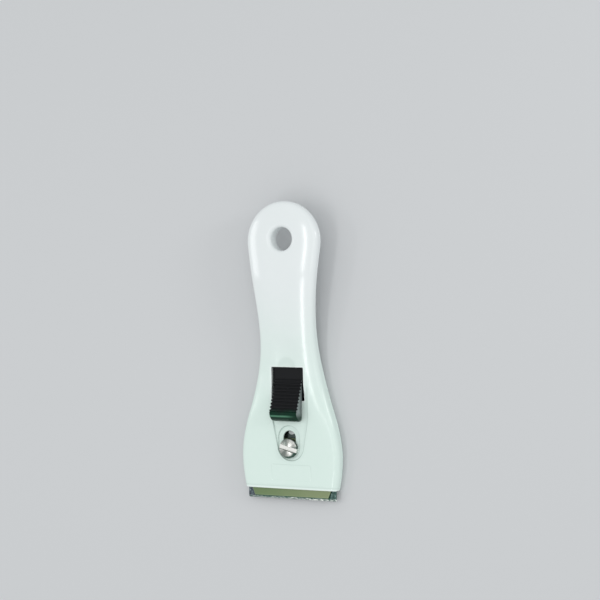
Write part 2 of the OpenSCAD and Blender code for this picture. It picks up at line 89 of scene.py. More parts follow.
class Value:
    """A shader socket that carries a number, with Python's operators on it."""

    def __init__(self, shader: "Shader", socket: bpy.types.NodeSocket) -> None:
        """Wraps an output socket of a shader."""
        self.shader = shader
        self.socket = socket

    def __add__(self, other: "Value | float") -> "Value":
        """Returns the sum."""
        return self.shader.math("ADD", self, other)

    __radd__ = __add__

    def __sub__(self, other: "Value | float") -> "Value":
        """Returns the difference."""
        return self.shader.math("SUBTRACT", self, other)

    def __rsub__(self, other: "Value | float") -> "Value":
        """Returns the difference the other way round."""
        return self.shader.math("SUBTRACT", other, self)

    def __mul__(self, other: "Value | float") -> "Value":
        """Returns the product."""
        return self.shader.math("MULTIPLY", self, other)

    __rmul__ = __mul__

    def __truediv__(self, other: "Value | float") -> "Value":
        """Returns the quotient."""
        return self.shader.math("DIVIDE", self, other)

    def __pow__(self, other: "Value | float") -> "Value":
        """Returns the power."""
        return self.shader.math("POWER", self, other)

    def __abs__(self) -> "Value":
        """Returns the size without its sign."""
        return self.shader.math("ABSOLUTE", self)

    def step(self, low: float, high: float) -> "Value":
        """Returns 0 below low and 1 above high, smooth in between.

        Args:
            low: Where the rise starts; above high for a fall.
            high: Where it ends.

        Returns:
            The smooth step.
        """
        ranged = self.shader.node(
            "ShaderNodeMapRange",
            {"interpolation_type": "SMOOTHSTEP"},
            {"Value": self, "From Min": low, "From Max": high},
        )
        return Value(self.shader, ranged.outputs["Result"])


def add_node(
    tree: bpy.types.NodeTree, kind: str, settings: dict | None = None, inputs: dict | None = None
) -> bpy.types.Node:
    """Adds a node to a tree, with its settings set before its sockets.

    Args:
        tree: The tree.
        kind: The node's type.
        settings: Attributes of the node.
        inputs: Socket name or number to a number, a colour, a Value or a socket.

    Returns:
        The node.
    """
    made = tree.nodes.new(kind)
    for key, setting in (settings or {}).items():
        setattr(made, key, setting)
    for key, given in (inputs or {}).items():
        source = given.socket if isinstance(given, Value) else given
        if isinstance(source, bpy.types.NodeSocket):
            tree.links.new(source, made.inputs[key])
        else:
            made.inputs[key].default_value = source
    return made


class Shader:
    """A material's node tree, filled by one node method and by expressions."""

    def __init__(self, name: str) -> None:
        """Makes an empty material.

        Args:
            name: The material's name.
        """
        self.material = bpy.data.materials.new(name)
        self.material.use_nodes = True
        self.tree = self.material.node_tree
        self.tree.nodes.clear()

    def node(self, kind: str, settings: dict | None = None, inputs: dict | None = None) -> bpy.types.Node:
        """Adds a node to the material; the arguments are those of add_node."""
        return add_node(self.tree, kind, settings, inputs)

    def math(self, operation: str, *values: "Value | float") -> Value:
        """Returns the result of a Math node."""
        made = self.node("ShaderNodeMath", {"operation": operation}, dict(enumerate(values)))
        return Value(self, made.outputs[0])

    def place(self, centre: tuple[float, float, float] = (0.0, 0.0, 0.0)) -> bpy.types.NodeSocket:
        """Returns the place on the piece in millimetres, from a centre.

        Args:
            centre: The centre in millimetres.

        Returns:
            The vector socket.
        """
        seen = self.node("ShaderNodeTexCoord").outputs["Object"]
        turned = self.node(
            "ShaderNodeMapping",
            {"vector_type": "POINT"},
            {"Vector": seen, "Scale": (1 / MM,) * 3, "Location": tuple(-c for c in centre)},
        )
        return turned.outputs[0]

    def split(self, vector: bpy.types.NodeSocket) -> tuple[Value, Value, Value]:
        """Returns the X, Y and Z of a vector."""
        parts = self.node("ShaderNodeSeparateXYZ", None, {0: vector})
        return tuple(Value(self, socket) for socket in parts.outputs)

    def stretched(self, vector: bpy.types.NodeSocket, scale: tuple) -> bpy.types.NodeSocket:
        """Returns a vector with each axis scaled by its own factor."""
        made = self.node("ShaderNodeVectorMath", {"operation": "MULTIPLY"}, {0: vector, 1: scale})
        return made.outputs[0]

    def noise(
        self, vector: bpy.types.NodeSocket, scale: float, detail: float = 3.0, rough: float = 0.5
    ) -> Value:
        """Returns noise around 0.5; the scale is in features a millimetre."""
        inputs = {"Vector": vector, "Scale": scale, "Detail": detail, "Roughness": rough}
        return Value(self, self.node("ShaderNodeTexNoise", None, inputs).outputs[0])

    def specks(self, vector: bpy.types.NodeSocket, scale: float, size: float) -> Value:
        """Returns 1 on scattered specks and 0 elsewhere; a speck's size is its share of a cell."""
        cells = self.node("ShaderNodeTexVoronoi", {"feature": "F1"}, {"Vector": vector, "Scale": scale})
        return Value(self, cells.outputs["Distance"]).step(size, size * 0.4)

    def attribute(self, name: str) -> Value:
        """Returns a number stored on the mesh's points, 0 where the mesh has none."""
        return Value(self, self.node("ShaderNodeAttribute", {"attribute_name": name}).outputs["Fac"])

    def mix(self, share: "Value | float", first: object, second: object) -> bpy.types.NodeSocket:
        """Returns a mix of two colours.

        Args:
            share: How much of the second.
            first: A colour or a colour socket.
            second: A colour or a colour socket.

        Returns:
            The mixed colour's socket.
        """
        rgba = [(*c, 1.0) if isinstance(c, tuple) else c for c in (first, second)]
        made = self.node(
            "ShaderNodeMix",
            {"data_type": "RGBA", "clamp_factor": True},
            {0: share, 6: rgba[0], 7: rgba[1]},
        )
        return made.outputs[2]

    def bump(
        self, height: Value, strength: float, depth: float, under: object = None
    ) -> bpy.types.NodeSocket:
        """Returns a normal from a height.

        Args:
            height: The height, 0 to 1.
            strength: The bump's strength.
            depth: What a height of 1 means, in millimetres.
            under: A normal that this bump lies on, or None.

        Returns:
            The normal's socket.
        """
        sockets = {"Strength": strength, "Distance": depth * MM, "Height": height}
        if under is not None:
            sockets["Normal"] = under
        return self.node("ShaderNodeBump", None, sockets).outputs[0]

    def finish(self, **sockets: object) -> bpy.types.Material:
        """Ends the tree in a Principled shader.

        Args:
            **sockets: Socket names, with _ for a space, to values or links.

        Returns:
            The material.
        """
        named = {
            key.replace("_", " "): (*given, 1.0) if isinstance(given, tuple) and len(given) == 3 else given
            for key, given in sockets.items()
        }
        shader = self.node("ShaderNodeBsdfPrincipled", None, named)
        self.node("ShaderNodeOutputMaterial", None, {"Surface": shader.outputs[0]})
        return self.material


# Finishes


@dataclass(frozen=True)
class MouldedWhite:
    """Glossy white moulded plastic, cooler towards the blade, with painted shade in its steps, painted
    highlights on its rims and painted shadow on the window's walls.
    """

    upper: tuple = (0.80, 0.84, 0.84)
    lower: tuple = (0.715, 0.845, 0.785)
    # colour of the painted shade in the front's steps and grooves
    step_shade_colour: tuple = (0.40, 0.50, 0.455)
    # colour of the painted highlight on the thin rims
    rim: tuple = (0.93, 0.99, 0.97)
    # colour of the painted shadow on the window's inner walls
    rub_marks_and_painted_lighting: tuple = (0.02, 0.024, 0.024)
    speck: tuple = (0.22, 0.24, 0.22)
    haze: tuple = (1.0, 1.0, 1.0)
    cool_y: tuple = (-26.0, 34.0)
    roughness: float = 0.12

    def build(self) -> bpy.types.Material:
        """Returns the material."""
        s = Shader("moulded_white")
        place = s.place()
        _, y, _ = s.split(place)
        cloud = s.noise(place, 0.06, 2.0)
        blend = (y + (cloud - 0.5) * 14.0).step(*self.cool_y)
        base = s.mix(blend, self.lower, self.upper)
        mottle = s.noise(place, 0.35, 4.0)
        base = s.mix(mottle.step(0.35, 0.75) * 0.035, base, self.haze)
        # painted highlight on the thin rims at the window and the mouth
        base = s.mix(s.attribute("rim_highlight"), base, self.rim)
        # painted shadow on the window's inner walls, strongest low down
        base = s.mix(s.attribute("window_wall_shadow"), base, self.rub_marks_and_painted_lighting)
        # painted shade along the front's steps and grooves and in the thumb dish
        base = s.mix(s.attribute("painted_step_shade") * (0.7 + 0.6 * mottle), base, self.step_shade_colour)
        base = s.mix(s.specks(place, 0.09, 0.016) * 0.6, base, self.speck)
        scuffs = s.noise(s.stretched(place, (5.0, 0.35, 2.0)), 1.0, 3.0).step(0.66, 0.8)
        flow = s.noise(place, 0.22, 2.0)
        grain = s.noise(place, 9.0, 2.0)
        skin = s.bump(flow, 0.5, 0.035)
        skin = s.bump(grain + scuffs * 0.6, 0.35, 0.0022, skin)
        return s.finish(
            Base_Color=base,
            Roughness=self.roughness + (s.noise(place, 0.5, 4.0) - 0.5) * 0.05 + scuffs * 0.05,
            Normal=skin,
            IOR=1.46,
        )


@dataclass(frozen=True)
class MouldedBlack:
    """Near-black button plastic: fine grain, painted light on its sides and rib ends, a smoother nose with a
    painted green reflection and a painted highlight band.
    """

    body: tuple = (0.0055, 0.006, 0.0072)
    # colour of the painted green reflection on the nose
    nose: tuple = (0.001, 0.026, 0.013)
    # colour of the painted highlight band on the nose
    shine: tuple = (0.10, 0.26, 0.165)
    # colour of the painted light on the button's sides and rib ends
    rub_marks_and_painted_lighting: tuple = (0.25, 0.29, 0.285)
    dust: tuple = (0.22, 0.23, 0.22)
    nose_y: float = -26.2
    nose_fade: tuple = (3.4, 0.8)
    half_w: float = 6.25
    flank_z: tuple = (6.12, 6.25)
    flank_rise: tuple = (6.5, 9.5)

    def build(self) -> bpy.types.Material:
        """Returns the material."""
        s = Shader("moulded_black")
        place = s.place()
        x, y, z = s.split(place)
        ripple = (s.noise(place, 0.35, 2.0) - 0.5) * 2.0
        from_nose = y - self.nose_y
        at_nose = (from_nose + ripple).step(*self.nose_fade)
        # painted green reflection on the nose
        base = s.mix(at_nose, self.body, self.nose)
        # painted highlight band across the nose
        band = abs(from_nose + ripple * 0.1).step(0.55, 0.15) * x.step(6.0, 0.0)
        base = s.mix(band * 0.8, base, self.shine)
        # painted light on the button's sides and rib ends, fading out towards the nose
        outer = abs(x) - self.half_w
        lit_sides = outer.step(-0.16, -0.06) * outer.step(0.3, 0.1)
        lit_sides = lit_sides * z.step(*self.flank_z) * (0.6 + 0.4 * z.step(*self.flank_rise))
        lit_sides = lit_sides * (1.0 - 0.85 * from_nose.step(1.4, -0.8))
        cloud = s.noise(place, 0.5, 3.0)
        base = s.mix(lit_sides * (0.6 + 0.6 * cloud), base, self.rub_marks_and_painted_lighting)
        dusted = s.specks(place, 0.42, 0.1) * s.noise(place, 0.3, 2.0).step(0.45, 0.6)
        base = s.mix(dusted * 0.7, base, self.dust)
        grain = s.noise(place, 14.0, 2.0)
        return s.finish(
            Base_Color=base,
            Roughness=0.34 + cloud.step(0.4, 0.75) * 0.12 - at_nose * 0.14,
            Normal=s.bump(grain, 0.3, 0.004),
            IOR=1.49,
            Specular_IOR_Level=0.15,
        )


@dataclass(frozen=True)
class YellowPassivate:
    """Zinc plate under a yellow-green passivation, with clouds, rolling marks, and a painted highlight and
    painted shade at its edges.
    """

    dull: tuple = (0.145, 0.21, 0.095)
    bright: tuple = (0.215, 0.262, 0.138)
    rose: tuple = (0.22, 0.19, 0.12)
    pale: tuple = (0.34, 0.42, 0.25)
    dark: tuple = (0.012, 0.05, 0.03)
    side_x: tuple = (-17.0, 17.0)
    # widths of the painted highlight and the painted shade at the plate's edges
    pale_edge: tuple = (0.42, 0.1)
    dark_edge: tuple = (0.09, 0.0)
    front_y: float = -59.1
    front_hw: float = 16.75
    flare: float = 0.4

    def build(self) -> bpy.types.Material:
        """Returns the material."""
        s = Shader("yellow_passivate")
        place = s.place()
        x, y, _ = s.split(place)
        wavy_x = x + (s.noise(place, 0.12, 2.0) - 0.5) * 12.0
        base = s.mix(wavy_x.step(*self.side_x), self.dull, self.bright)
        base = s.mix(s.noise(place, 0.55, 3.0).step(0.55, 0.8) * 0.2, base, self.rose)
        from_front = y - self.front_y
        from_side = from_front * self.flare + self.front_hw - abs(x)
        edge = s.math("MINIMUM", from_front, from_side)
        # painted highlight just inside the plate's edges, then painted shade right at them
        base = s.mix(edge.step(*self.pale_edge) * 0.55, base, self.pale)
        base = s.mix(edge.step(*self.dark_edge) * 0.8, base, self.dark)
        base = s.mix(s.specks(place, 0.5, 0.07) * 0.4, base, self.pale)
        rolled = s.noise(s.stretched(place, (0.25, 7.0, 1.0)), 1.0, 3.0)
        skin = s.bump(rolled, 0.35, 0.006)
        skin = s.bump(s.noise(place, 6.0, 3.0), 0.3, 0.004, skin)
        return s.finish(
            Base_Color=base,
            Metallic=0.45,
            Roughness=0.38 + (rolled - 0.5) * 0.25,
            Normal=skin,
        )


@dataclass(frozen=True)
class GroundBlade:
    """Dark hardened strip steel: mottled, with fine scratches, a painted shadow and reflection of the plate,
    and a nicked ground edge with painted glints.
    """

    strip: tuple = (0.065, 0.08, 0.10)
    teal: tuple = (0.045, 0.10, 0.085)
    mottled: tuple = (0.26, 0.36, 0.35)
    pitted: tuple = (0.022, 0.030, 0.034)
    ground: tuple = (0.10, 0.16, 0.145)
    # colour of the painted shadow and reflection of the clamp plate
    plate_shadow_and_reflection: tuple = (0.010, 0.085, 0.048)
    # colour of the painted glints on the ground edge
    bright: tuple = (0.9, 0.94, 0.88)
    half_w: float = 20.0
    edge_y: float = -60.2
    ground_len: float = 0.62
    plate_out: float = 1.1
    plate_hw: float = 16.9

    def build(self) -> bpy.types.Material:
        """Returns the material."""
        s = Shader("ground_blade")
        place = s.place()
        x, y, _ = s.split(place)
        from_edge = y - self.edge_y
        wander = (s.noise(s.stretched(place, (0.8, 0.0, 0.0)), 1.0, 2.0) - 0.5) * 0.3
        ground = (from_edge + wander).step(self.ground_len + 0.08, self.ground_len - 0.08)
        lines = s.noise(s.stretched(place, (9.0, 0.6, 1.0)), 1.0, 2.0)
        mottle = s.noise(place, 1.1, 3.0)
        strip = s.mix((x / self.half_w).step(-0.6, 0.9), self.strip, self.teal)
        strip = s.mix(mottle.step(0.5, 0.66) * 0.75, strip, self.mottled)
        strip = s.mix(mottle.step(0.46, 0.34) * 0.8, strip, self.pitted)
        # painted shadow and reflection of the clamp plate on the blade just ahead of it
        near_plate = abs(x).step(self.plate_hw + 0.15, self.plate_hw)
        near_plate = near_plate * from_edge.step(self.plate_out + 0.6, 0.9)
        base = s.mix(near_plate * 0.9, strip, self.plate_shadow_and_reflection)
        base = s.mix(ground, base, self.ground)
        side = (x / self.half_w).step(-1.0, 0.4)
        # nicked ground edge painted with bright glints, more of them to the right
        nick_glints = s.noise(s.stretched(place, (1.1, 2.0, 1.0)), 1.0, 3.0, 0.7).step(0.46, 0.55)
        nick_glints = nick_glints * from_edge.step(0.9, 0.6) * (0.3 + 0.7 * side)
        base = s.mix(nick_glints, base, self.bright)
        return s.finish(
            Base_Color=base,
            Metallic=0.6,
            Roughness=0.36 + (lines - 0.5) * 0.3 - nick_glints * 0.1,
            Normal=s.bump(lines, 0.4, 0.004),
        )


@dataclass(frozen=True)
class NickelPlate:
    """Nickel plate with turning marks round the screw's axis, painted highlights and shade fanning round it
    and in the slot, painted shade in the slot's corners and at the rim, and a painted reflection on the
    head's outer edge.
    """

    plate: tuple = (0.46, 0.47, 0.44)
    shade: tuple = (0.20, 0.23, 0.21)
    # colour of the painted highlights in the slot and round the head
    slot: tuple = (0.80, 0.80, 0.76)
    # colour of the painted shade in the slot's corners and at the rim
    crevice_shade: tuple = (0.035, 0.06, 0.048)
    # colour of the painted reflection on the head's outer edge
    dark: tuple = (0.012, 0.075, 0.05)
    centre: tuple = (0.0, -39.4, 6.4)
    slot_half: float = 0.9
    slot_angle: float = -14.0
    crescent_r: tuple = (2.9, 3.5)
    rim_r: tuple = (3.75, 3.97)
    rim_z: tuple = (0.1, -0.3)

    def build(self) -> bpy.types.Material:
        """Returns the material."""
        s = Shader("nickel_plate")
        place = s.place(self.centre)
        x, y, z = s.split(place)
        radius = (x * x + y * y) ** 0.5
        turn = math.radians(self.slot_angle)
        gap = abs(y * math.cos(turn) - x * math.sin(turn))
        rings = s.noise(s.node("ShaderNodeCombineXYZ", None, {0: radius, 1: z, 2: 0.0}).outputs[0], 7.0, 3.0)
        cloud = s.noise(place, 0.7, 3.0)
        base = s.mix(cloud.step(0.35, 0.75) * 0.35, self.plate, self.shade)
        # painted highlights and painted shade fanning round the screw's axis
        round_it = s.math("ARCTAN2", y, x)
        fan = s.math("COSINE", round_it * 3.0 - 3.0 * 0.95) * radius.step(0.4, 1.6) * z.step(-0.3, 0.0)
        base = s.mix(fan.step(0.1, 0.8) * 0.7, base, self.slot)
        base = s.mix(fan.step(-0.2, -0.8) * 0.8, base, self.shade)
        # painted reflection in a crescent on the head's outer edge
        outer = (radius + (cloud - 0.5) * 0.4).step(*self.crescent_r)
        crescent = outer * s.math("COSINE", round_it + 0.9).step(0.35, 0.75)
        base = s.mix(crescent * 0.9, base, self.dark)
        # painted highlight on the slot's floor
        in_slot = gap.step(self.slot_half + 0.02, self.slot_half - 0.08) * z.step(0.6, 0.3)
        base = s.mix(in_slot, base, self.slot)
        # painted shade in the slot's corners and round the head's rim
        corner = abs(gap - self.slot_half).step(0.12, 0.03) * z.step(-0.3, -0.1)
        base = s.mix(corner * (0.45 + 0.5 * cloud), base, self.crevice_shade)
        rim = s.math("MAXIMUM", radius.step(*self.rim_r), z.step(*self.rim_z)) * (1.0 - in_slot)
        base = s.mix(rim * 0.75, base, self.crevice_shade)
        skin = s.bump(rings, 0.45, 0.006)
        skin = s.bump(s.noise(place, 3.0, 3.0), 0.25, 0.01, skin)
        return s.finish(
            Base_Color=base,
            Metallic=1.0,
            Roughness=0.24 + (rings - 0.5) * 0.2 + cloud * 0.08,
            Normal=skin,
        )


@dataclass(frozen=True)
class ZincPlate:
    """Bright zinc plate on pressed steel, with a faint grain, rub marks along the travel and painted shade
    under the screw's slot.
    """

    name: str = "zinc_plate"
    plate: tuple = (0.24, 0.26, 0.25)
    shade: tuple = (0.14, 0.16, 0.155)
    roughness: float = 0.36
    # how much painted shade lies under the screw's slot, where, and its colour
    slot_shade_share: float = 0.8
    slot_shade_y: float = -36.0
    slot_shade_colour: tuple = (0.035, 0.055, 0.048)
    slot_shade_half_w: tuple = (4.5, 3.0)
    slot_shade_half_l: tuple = (9.0, 7.0)

    def build(self) -> bpy.types.Material:
        """Returns the material."""
        s = Shader(self.name)
        place = s.place()
        cells = s.node("ShaderNodeTexVoronoi", {"feature": "F1"}, {"Vector": place, "Scale": 0.8})
        grey = s.node("ShaderNodeRGBToBW", None, {0: cells.outputs["Color"]})
        base = s.mix(Value(s, grey.outputs[0]) * 0.5, self.plate, self.shade)
        x, y, _ = s.split(place)
        # painted shade on the zinc under the screw's slot
        slot_shade_share = abs(x).step(*self.slot_shade_half_w) * abs(y - self.slot_shade_y).step(*self.slot_shade_half_l) * self.slot_shade_share
        base = s.mix(slot_shade_share, base, self.slot_shade_colour)
        rub_marks_and_painted_lighting = s.noise(s.stretched(place, (6.0, 0.4, 1.0)), 1.0, 3.0)
        skin = s.bump(rub_marks_and_painted_lighting, 0.35, 0.006)
        return s.finish(
            Base_Color=base,
            Metallic=0.9,
            Roughness=self.roughness + (rub_marks_and_painted_lighting - 0.5) * 0.25,
            Normal=skin,
        )


@dataclass(frozen=True)
class PaleFloor:
    """The plain pale floor."""

    colour: tuple = (0.62, 0.63, 0.64)

    def build(self) -> bpy.types.Material:
        """Returns the material."""
        s = Shader("pale_floor")
        return s.finish(Base_Color=self.colour, Roughness=0.9, Specular_IOR_Level=0.1)


@dataclass(frozen=True)
class Finishes:
    """One built material for each finish."""

    white: bpy.types.Material
    black: bpy.types.Material
    passivate: bpy.types.Material
    blade: bpy.types.Material
    nickel: bpy.types.Material
    zinc: bpy.types.Material
    spring: bpy.types.Material
    rivet: bpy.types.Material

    @classmethod
    def make(cls) -> "Finishes":
        """Returns all the finishes, built."""
        return cls(
            MouldedWhite().build(),
            MouldedBlack().build(),
            YellowPassivate().build(),
            GroundBlade().build(),
            NickelPlate().build(),
            ZincPlate().build(),
            ZincPlate("spring_strip", (0.16, 0.17, 0.175), (0.09, 0.10, 0.105), 0.28).build(),
            ZincPlate("rivet_zinc", (0.5, 0.52, 0.51), (0.22, 0.25, 0.24), 0.25, 0.0).build(),
        )


# Plans and solids


def spaced(line: Array, step: float, closed: bool = False) -> Array:
    """Returns a polyline with no segment longer than a step.

    Args:
        line: Its points.
        step: The longest segment.
        closed: Whether the last point joins the first.

    Returns:
        The finer polyline.
    """
    ends = np.roll(line, -1, axis=0) if closed else line[1:]
    made = []
    for a, b in zip(line, ends):
        n = max(1, math.ceil(float(np.hypot(*(b - a))) / step))
        made.extend(a + (b - a) * i / n for i in range(n))
    if not closed:
        made.append(line[-1])
    return np.array(made)


def line_at(u: float, half: float, step: float = 0.6) -> Array:
    """Returns a straight line across the plan at u, half its length to each side."""
    return spaced(np.array([[-half, u], [half, u]]), step)


@dataclass(frozen=True)
class RoundBox:
    """A rectangle with round corners in plan; with equal sizes it is a disc or a slot."""

    x: float
    u: float
    half_w: float
    half_l: float
    r: float = 0.05

    def inside(self, x: Array, u: Array) -> Array:
        """Returns the distance inside the edge, negative outside.

        Args:
            x: Places across.
            u: Places along.

        Returns:
            The distances.
        """
        qx = np.abs(x - self.x) - self.half_w + self.r
        qu = np.abs(u - self.u) - self.half_l + self.r
        return self.r - np.hypot(np.maximum(qx, 0), np.maximum(qu, 0)) - np.minimum(np.maximum(qx, qu), 0)

    def lip(self, x: Array, u: Array, radius: float) -> Array:
        """Returns the drop of a rounded edge outside the box, as round an opening."""
        return eased(np.maximum(-self.inside(x, u), 0), radius)

    def brink(self, x: Array, u: Array, radius: float) -> Array:
        """Returns the drop of a rounded edge inside the box."""
        return eased(np.maximum(self.inside(x, u), 0), radius)

    def curve(self, inset: float = 0.0, step: float = 0.5) -> Array:
        """Returns the closed curve at a distance inside the edge.

        Args:
            inset: The distance, negative for outside.
            step: The spacing of its points.

        Returns:
            Its points.
        """
        w, h = self.half_w - inset, self.half_l - inset
        r = min(max(self.r - inset, 0.02), w, h)
        n = max(2, math.ceil(r * math.pi / 2 / step * 1.6))
        turns = [math.pi / 2 * (q + i / n) for q in range(4) for i in range(n + 1)]
        corners = [(1, 1), (-1, 1), (-1, -1), (1, -1)]
        points = []
        for k, a in enumerate(turns):
            sx, su = corners[k // (n + 1)]
            points.append((self.x + sx * (w - r) + r * math.cos(a), self.u + su * (h - r) + r * math.sin(a)))
        line = np.array(points)
        apart = np.hypot(*(line - np.roll(line, 1, axis=0)).T) > 1e-4
        return spaced(line[apart], step, closed=True)


def box_between(half_w: float, u0: float, u1: float, r: float = 0.05, x: float = 0.0) -> RoundBox:
    """Returns a box in plan that runs from u0 to u1, with its middle at x."""
    return RoundBox(x, (u0 + u1) / 2, half_w, (u1 - u0) / 2, r)


def disc(u: float, r: float, x: float = 0.0, run: float = 0.0) -> RoundBox:
    """Returns a disc in plan, or a slot where it has a run along u to each side."""
    return RoundBox(x, u, r, r + run, r)


def closing(curves: Sequence[Array]) -> list[Array]:
    """Returns closed curves as lines whose last point repeats the first."""
    return [np.concatenate([curve, curve[:1]]) for curve in curves]


def distance_to(line: Array, x: Array, u: Array) -> Array:
    """Returns the distance from places in plan to a polyline.

    Args:
        line: The polyline's points.
        x: Places across.
        u: Places along.

    Returns:
        The distances.
    """
    a, b = line[:-1], line[1:]
    run = b - a
    length2 = (run**2).sum(1)
    best = np.full(len(x), np.inf)
    for start in range(0, len(x), 2000):
        p = np.stack([x[start:start + 2000], u[start:start + 2000]], 1)[:, None, :]
        t = np.clip(((p - a) * run).sum(2) / length2, 0, 1)
        gap = p - a - t[..., None] * run
        best[start:start + 2000] = np.sqrt((gap**2).sum(2).min(1))
    return best


def within(loop: Array, points: Array) -> Array:
    """Tells which points lie in a closed loop.

    Args:
        loop: The loop's points.
        points: The points to test.

    Returns:
        One flag for each point.
    """
    a, b = loop, np.roll(loop, -1, axis=0)
    flags = np.zeros(len(points), bool)
    for start in range(0, len(points), 2000):
        p = points[start:start + 2000, None, :]
        spans = (a[:, 1] > p[..., 1]) != (b[:, 1] > p[..., 1])
        rise = np.where(b[:, 1] == a[:, 1], 1e-12, b[:, 1] - a[:, 1])
        cross = a[:, 0] + (p[..., 1] - a[:, 1]) / rise * (b[:, 0] - a[:, 0])
        flags[start:start + 2000] = (spans & (p[..., 0] < cross)).sum(1) % 2 == 1
    return flags


def eased(gap: Array, radius: float) -> Array:
    """Returns a rounded edge's drop at a gap from it: the radius at the edge, 0 from the radius on."""
    left = np.clip(radius - gap, 0, radius)
    return radius - np.sqrt(np.maximum(radius**2 - left**2, 0))


def share(gap: Array, width: float) -> Array:
    """Returns a straight rise from 0 where the gap is 0 to 1 where it is as large as the width."""
    return np.clip(gap / width, 0, 1)


def smooth(rise: Array) -> Array:
    """Returns a rise from 0 to 1 with a soft start and end."""
    return rise**2 * (3 - 2 * rise)


def groove(gap: Array, half_w: float, depth: float) -> Array:
    """Returns the depth of a fine groove at a distance from its middle."""
    return depth * np.clip(1 - gap / half_w, 0, 1)


def ball_radius(half_w: float, rise: float) -> float:
    """Returns the radius of the ball whose cap has this half width and rise."""
    return (half_w**2 + rise**2) / (2 * rise)


def level(height: float) -> Height:
    """Returns a height that is the same all over a plan."""
    return lambda x, u: np.full(len(x), height)


class PlanSolid:
    """A closed solid between two heights over one plan, meshed along the plan's own curves."""

    def __init__(self, outline: Array, holes: Sequence[Array], guides: Sequence[Array], pitch: float) -> None:
        """Meshes the plan.

        Args:
            outline: The closed outer curve.
            holes: Closed curves of the openings that go right through.
            guides: Open or closed curves that the mesh follows; a closed one repeats its first point.
            pitch: The spacing of the points between the curves.
        """
        points: list[Array] = []
        edges: list[tuple[int, int]] = []
        count = 0
        for line, closed in [(outline, True), *((h, True) for h in holes), *((g, False) for g in guides)]:
            n = len(line)
            edges.extend((count + i, count + i + 1) for i in range(n - 1))
            if closed:
                edges.append((count + n - 1, count))
            points.append(line)
            count += n
        curves = np.concatenate(points)
        points.append(self._filling(outline, holes, curves, pitch))
        flat = [Vector((float(p[0]), float(p[1]))) for p in np.concatenate(points)]
        verts, _, faces, *_ = geometry.delaunay_2d_cdt(flat, edges, [], 0, 1e-4, False)
        self.points = np.array([v[:] for v in verts], float)
        triangles = np.array(faces, int)
        middle = self.points[triangles].mean(1)
        keep = within(outline, middle)
        for hole in holes:
            keep &= ~within(hole, middle)
        triangles = triangles[keep]
        used = np.unique(triangles)
        renumber = np.zeros(len(self.points), int)
        renumber[used] = np.arange(len(used))
        self.points, self.triangles = self.points[used], renumber[triangles]

    @staticmethod
    def _filling(outline: Array, holes: Sequence[Array], curves: Array, pitch: float) -> Array:
        """Returns points that fill the plan between its curves.

        Args:
            outline: The outer curve.
            holes: The openings' curves.
            curves: Every point on a curve.
            pitch: Their spacing.

        Returns:
            The points.
        """
        low, high = outline.min(0), outline.max(0)
        rows = np.arange(low[1] + pitch / 2, high[1], pitch * 0.87)
        grid = np.array([
            (x, u)
            for k, u in enumerate(rows)
            for x in np.arange(low[0] + (k % 2) * pitch / 2, high[0], pitch)
        ])
        grid = grid[within(outline, grid)]
        for hole in holes:
            grid = grid[~within(hole, grid)]
        cell = pitch * 0.5
        taken = {(int(k[0]), int(k[1])) for k in np.floor(curves / cell)}
        near = [(i, j) for i in (-1, 0, 1) for j in (-1, 0, 1)]
        keys = np.floor(grid / cell).astype(int)
        free = [not any((k[0] + i, k[1] + j) in taken for i, j in near) for k in keys]
        return grid[np.array(free, bool)]

    def build(self, name: str, top: Height, bottom: Height, crease: float = CREASE) -> bpy.types.Object:
        """Returns the solid between two heights.

        Args:
            name: The object's name.
            top: The upper height.
            bottom: The lower height.
            crease: The angle in degrees past which an edge is sharp.

        Returns:
            The object, not yet on a body.
        """
        x, u = self.points.T
        high, low = top(x, u), bottom(x, u)
        n = len(x)
        rows = self.triangles
        codes = rows * n + np.roll(rows, -1, axis=1)
        back = np.roll(rows, -1, axis=1) * n + rows
        rim = ~np.isin(codes.ravel(), back.ravel())
        a, b = rows.ravel()[rim], np.roll(rows, -1, axis=1).ravel()[rim]
        verts = np.concatenate([
            np.stack([x, u + MOUTH_Y, high], 1),
            np.stack([x, u + MOUTH_Y, low], 1),
        ]) * MM
        walls = np.concatenate([np.stack([a + n, b + n, b], 1), np.stack([a + n, b, a], 1)])
        faces = np.concatenate([rows, rows[:, ::-1] + n, walls])
        return solid_object(name, verts, faces, crease)


def add_object(name: str, data: bpy.types.ID) -> bpy.types.Object:
    """Returns a new object in the scene for a mesh, a light or a camera."""
    made = bpy.data.objects.new(name, data)
    bpy.context.scene.collection.objects.link(made)
    return made


def smooth_object(name: str, mesh: bpy.types.Mesh, crease: float) -> bpy.types.Object:
    """Returns a new object for a mesh, smooth but for the edges past an angle in degrees."""
    mesh.shade_smooth()
    mesh.set_sharp_from_angle(angle=math.radians(crease))
    return add_object(name, mesh)


def solid_object(name: str, verts: Array, faces: Array, crease: float = CREASE) -> bpy.types.Object:
    """Returns an object from vertices in metres and faces, smooth but for its sharp edges.

    Args:
        name: The object's name.
        verts: The vertices.
        faces: The faces.
        crease: The angle in degrees past which an edge is sharp.

    Returns:
        The object.
    """
    mesh = bpy.data.meshes.new(name)
    mesh.from_pydata([tuple(v) for v in verts], [], [tuple(int(i) for i in f) for f in faces])
    work = bmesh.new()
    work.from_mesh(mesh)
    bmesh.ops.remove_doubles(work, verts=work.verts, dist=1e-6)
    bmesh.ops.dissolve_degenerate(work, edges=work.edges, dist=1e-7)
    loose = [v for v in work.verts if not v.link_faces]
    bmesh.ops.delete(work, geom=loose, context="VERTS")
    work.to_mesh(mesh)
    work.free()
    return smooth_object(name, mesh, crease)


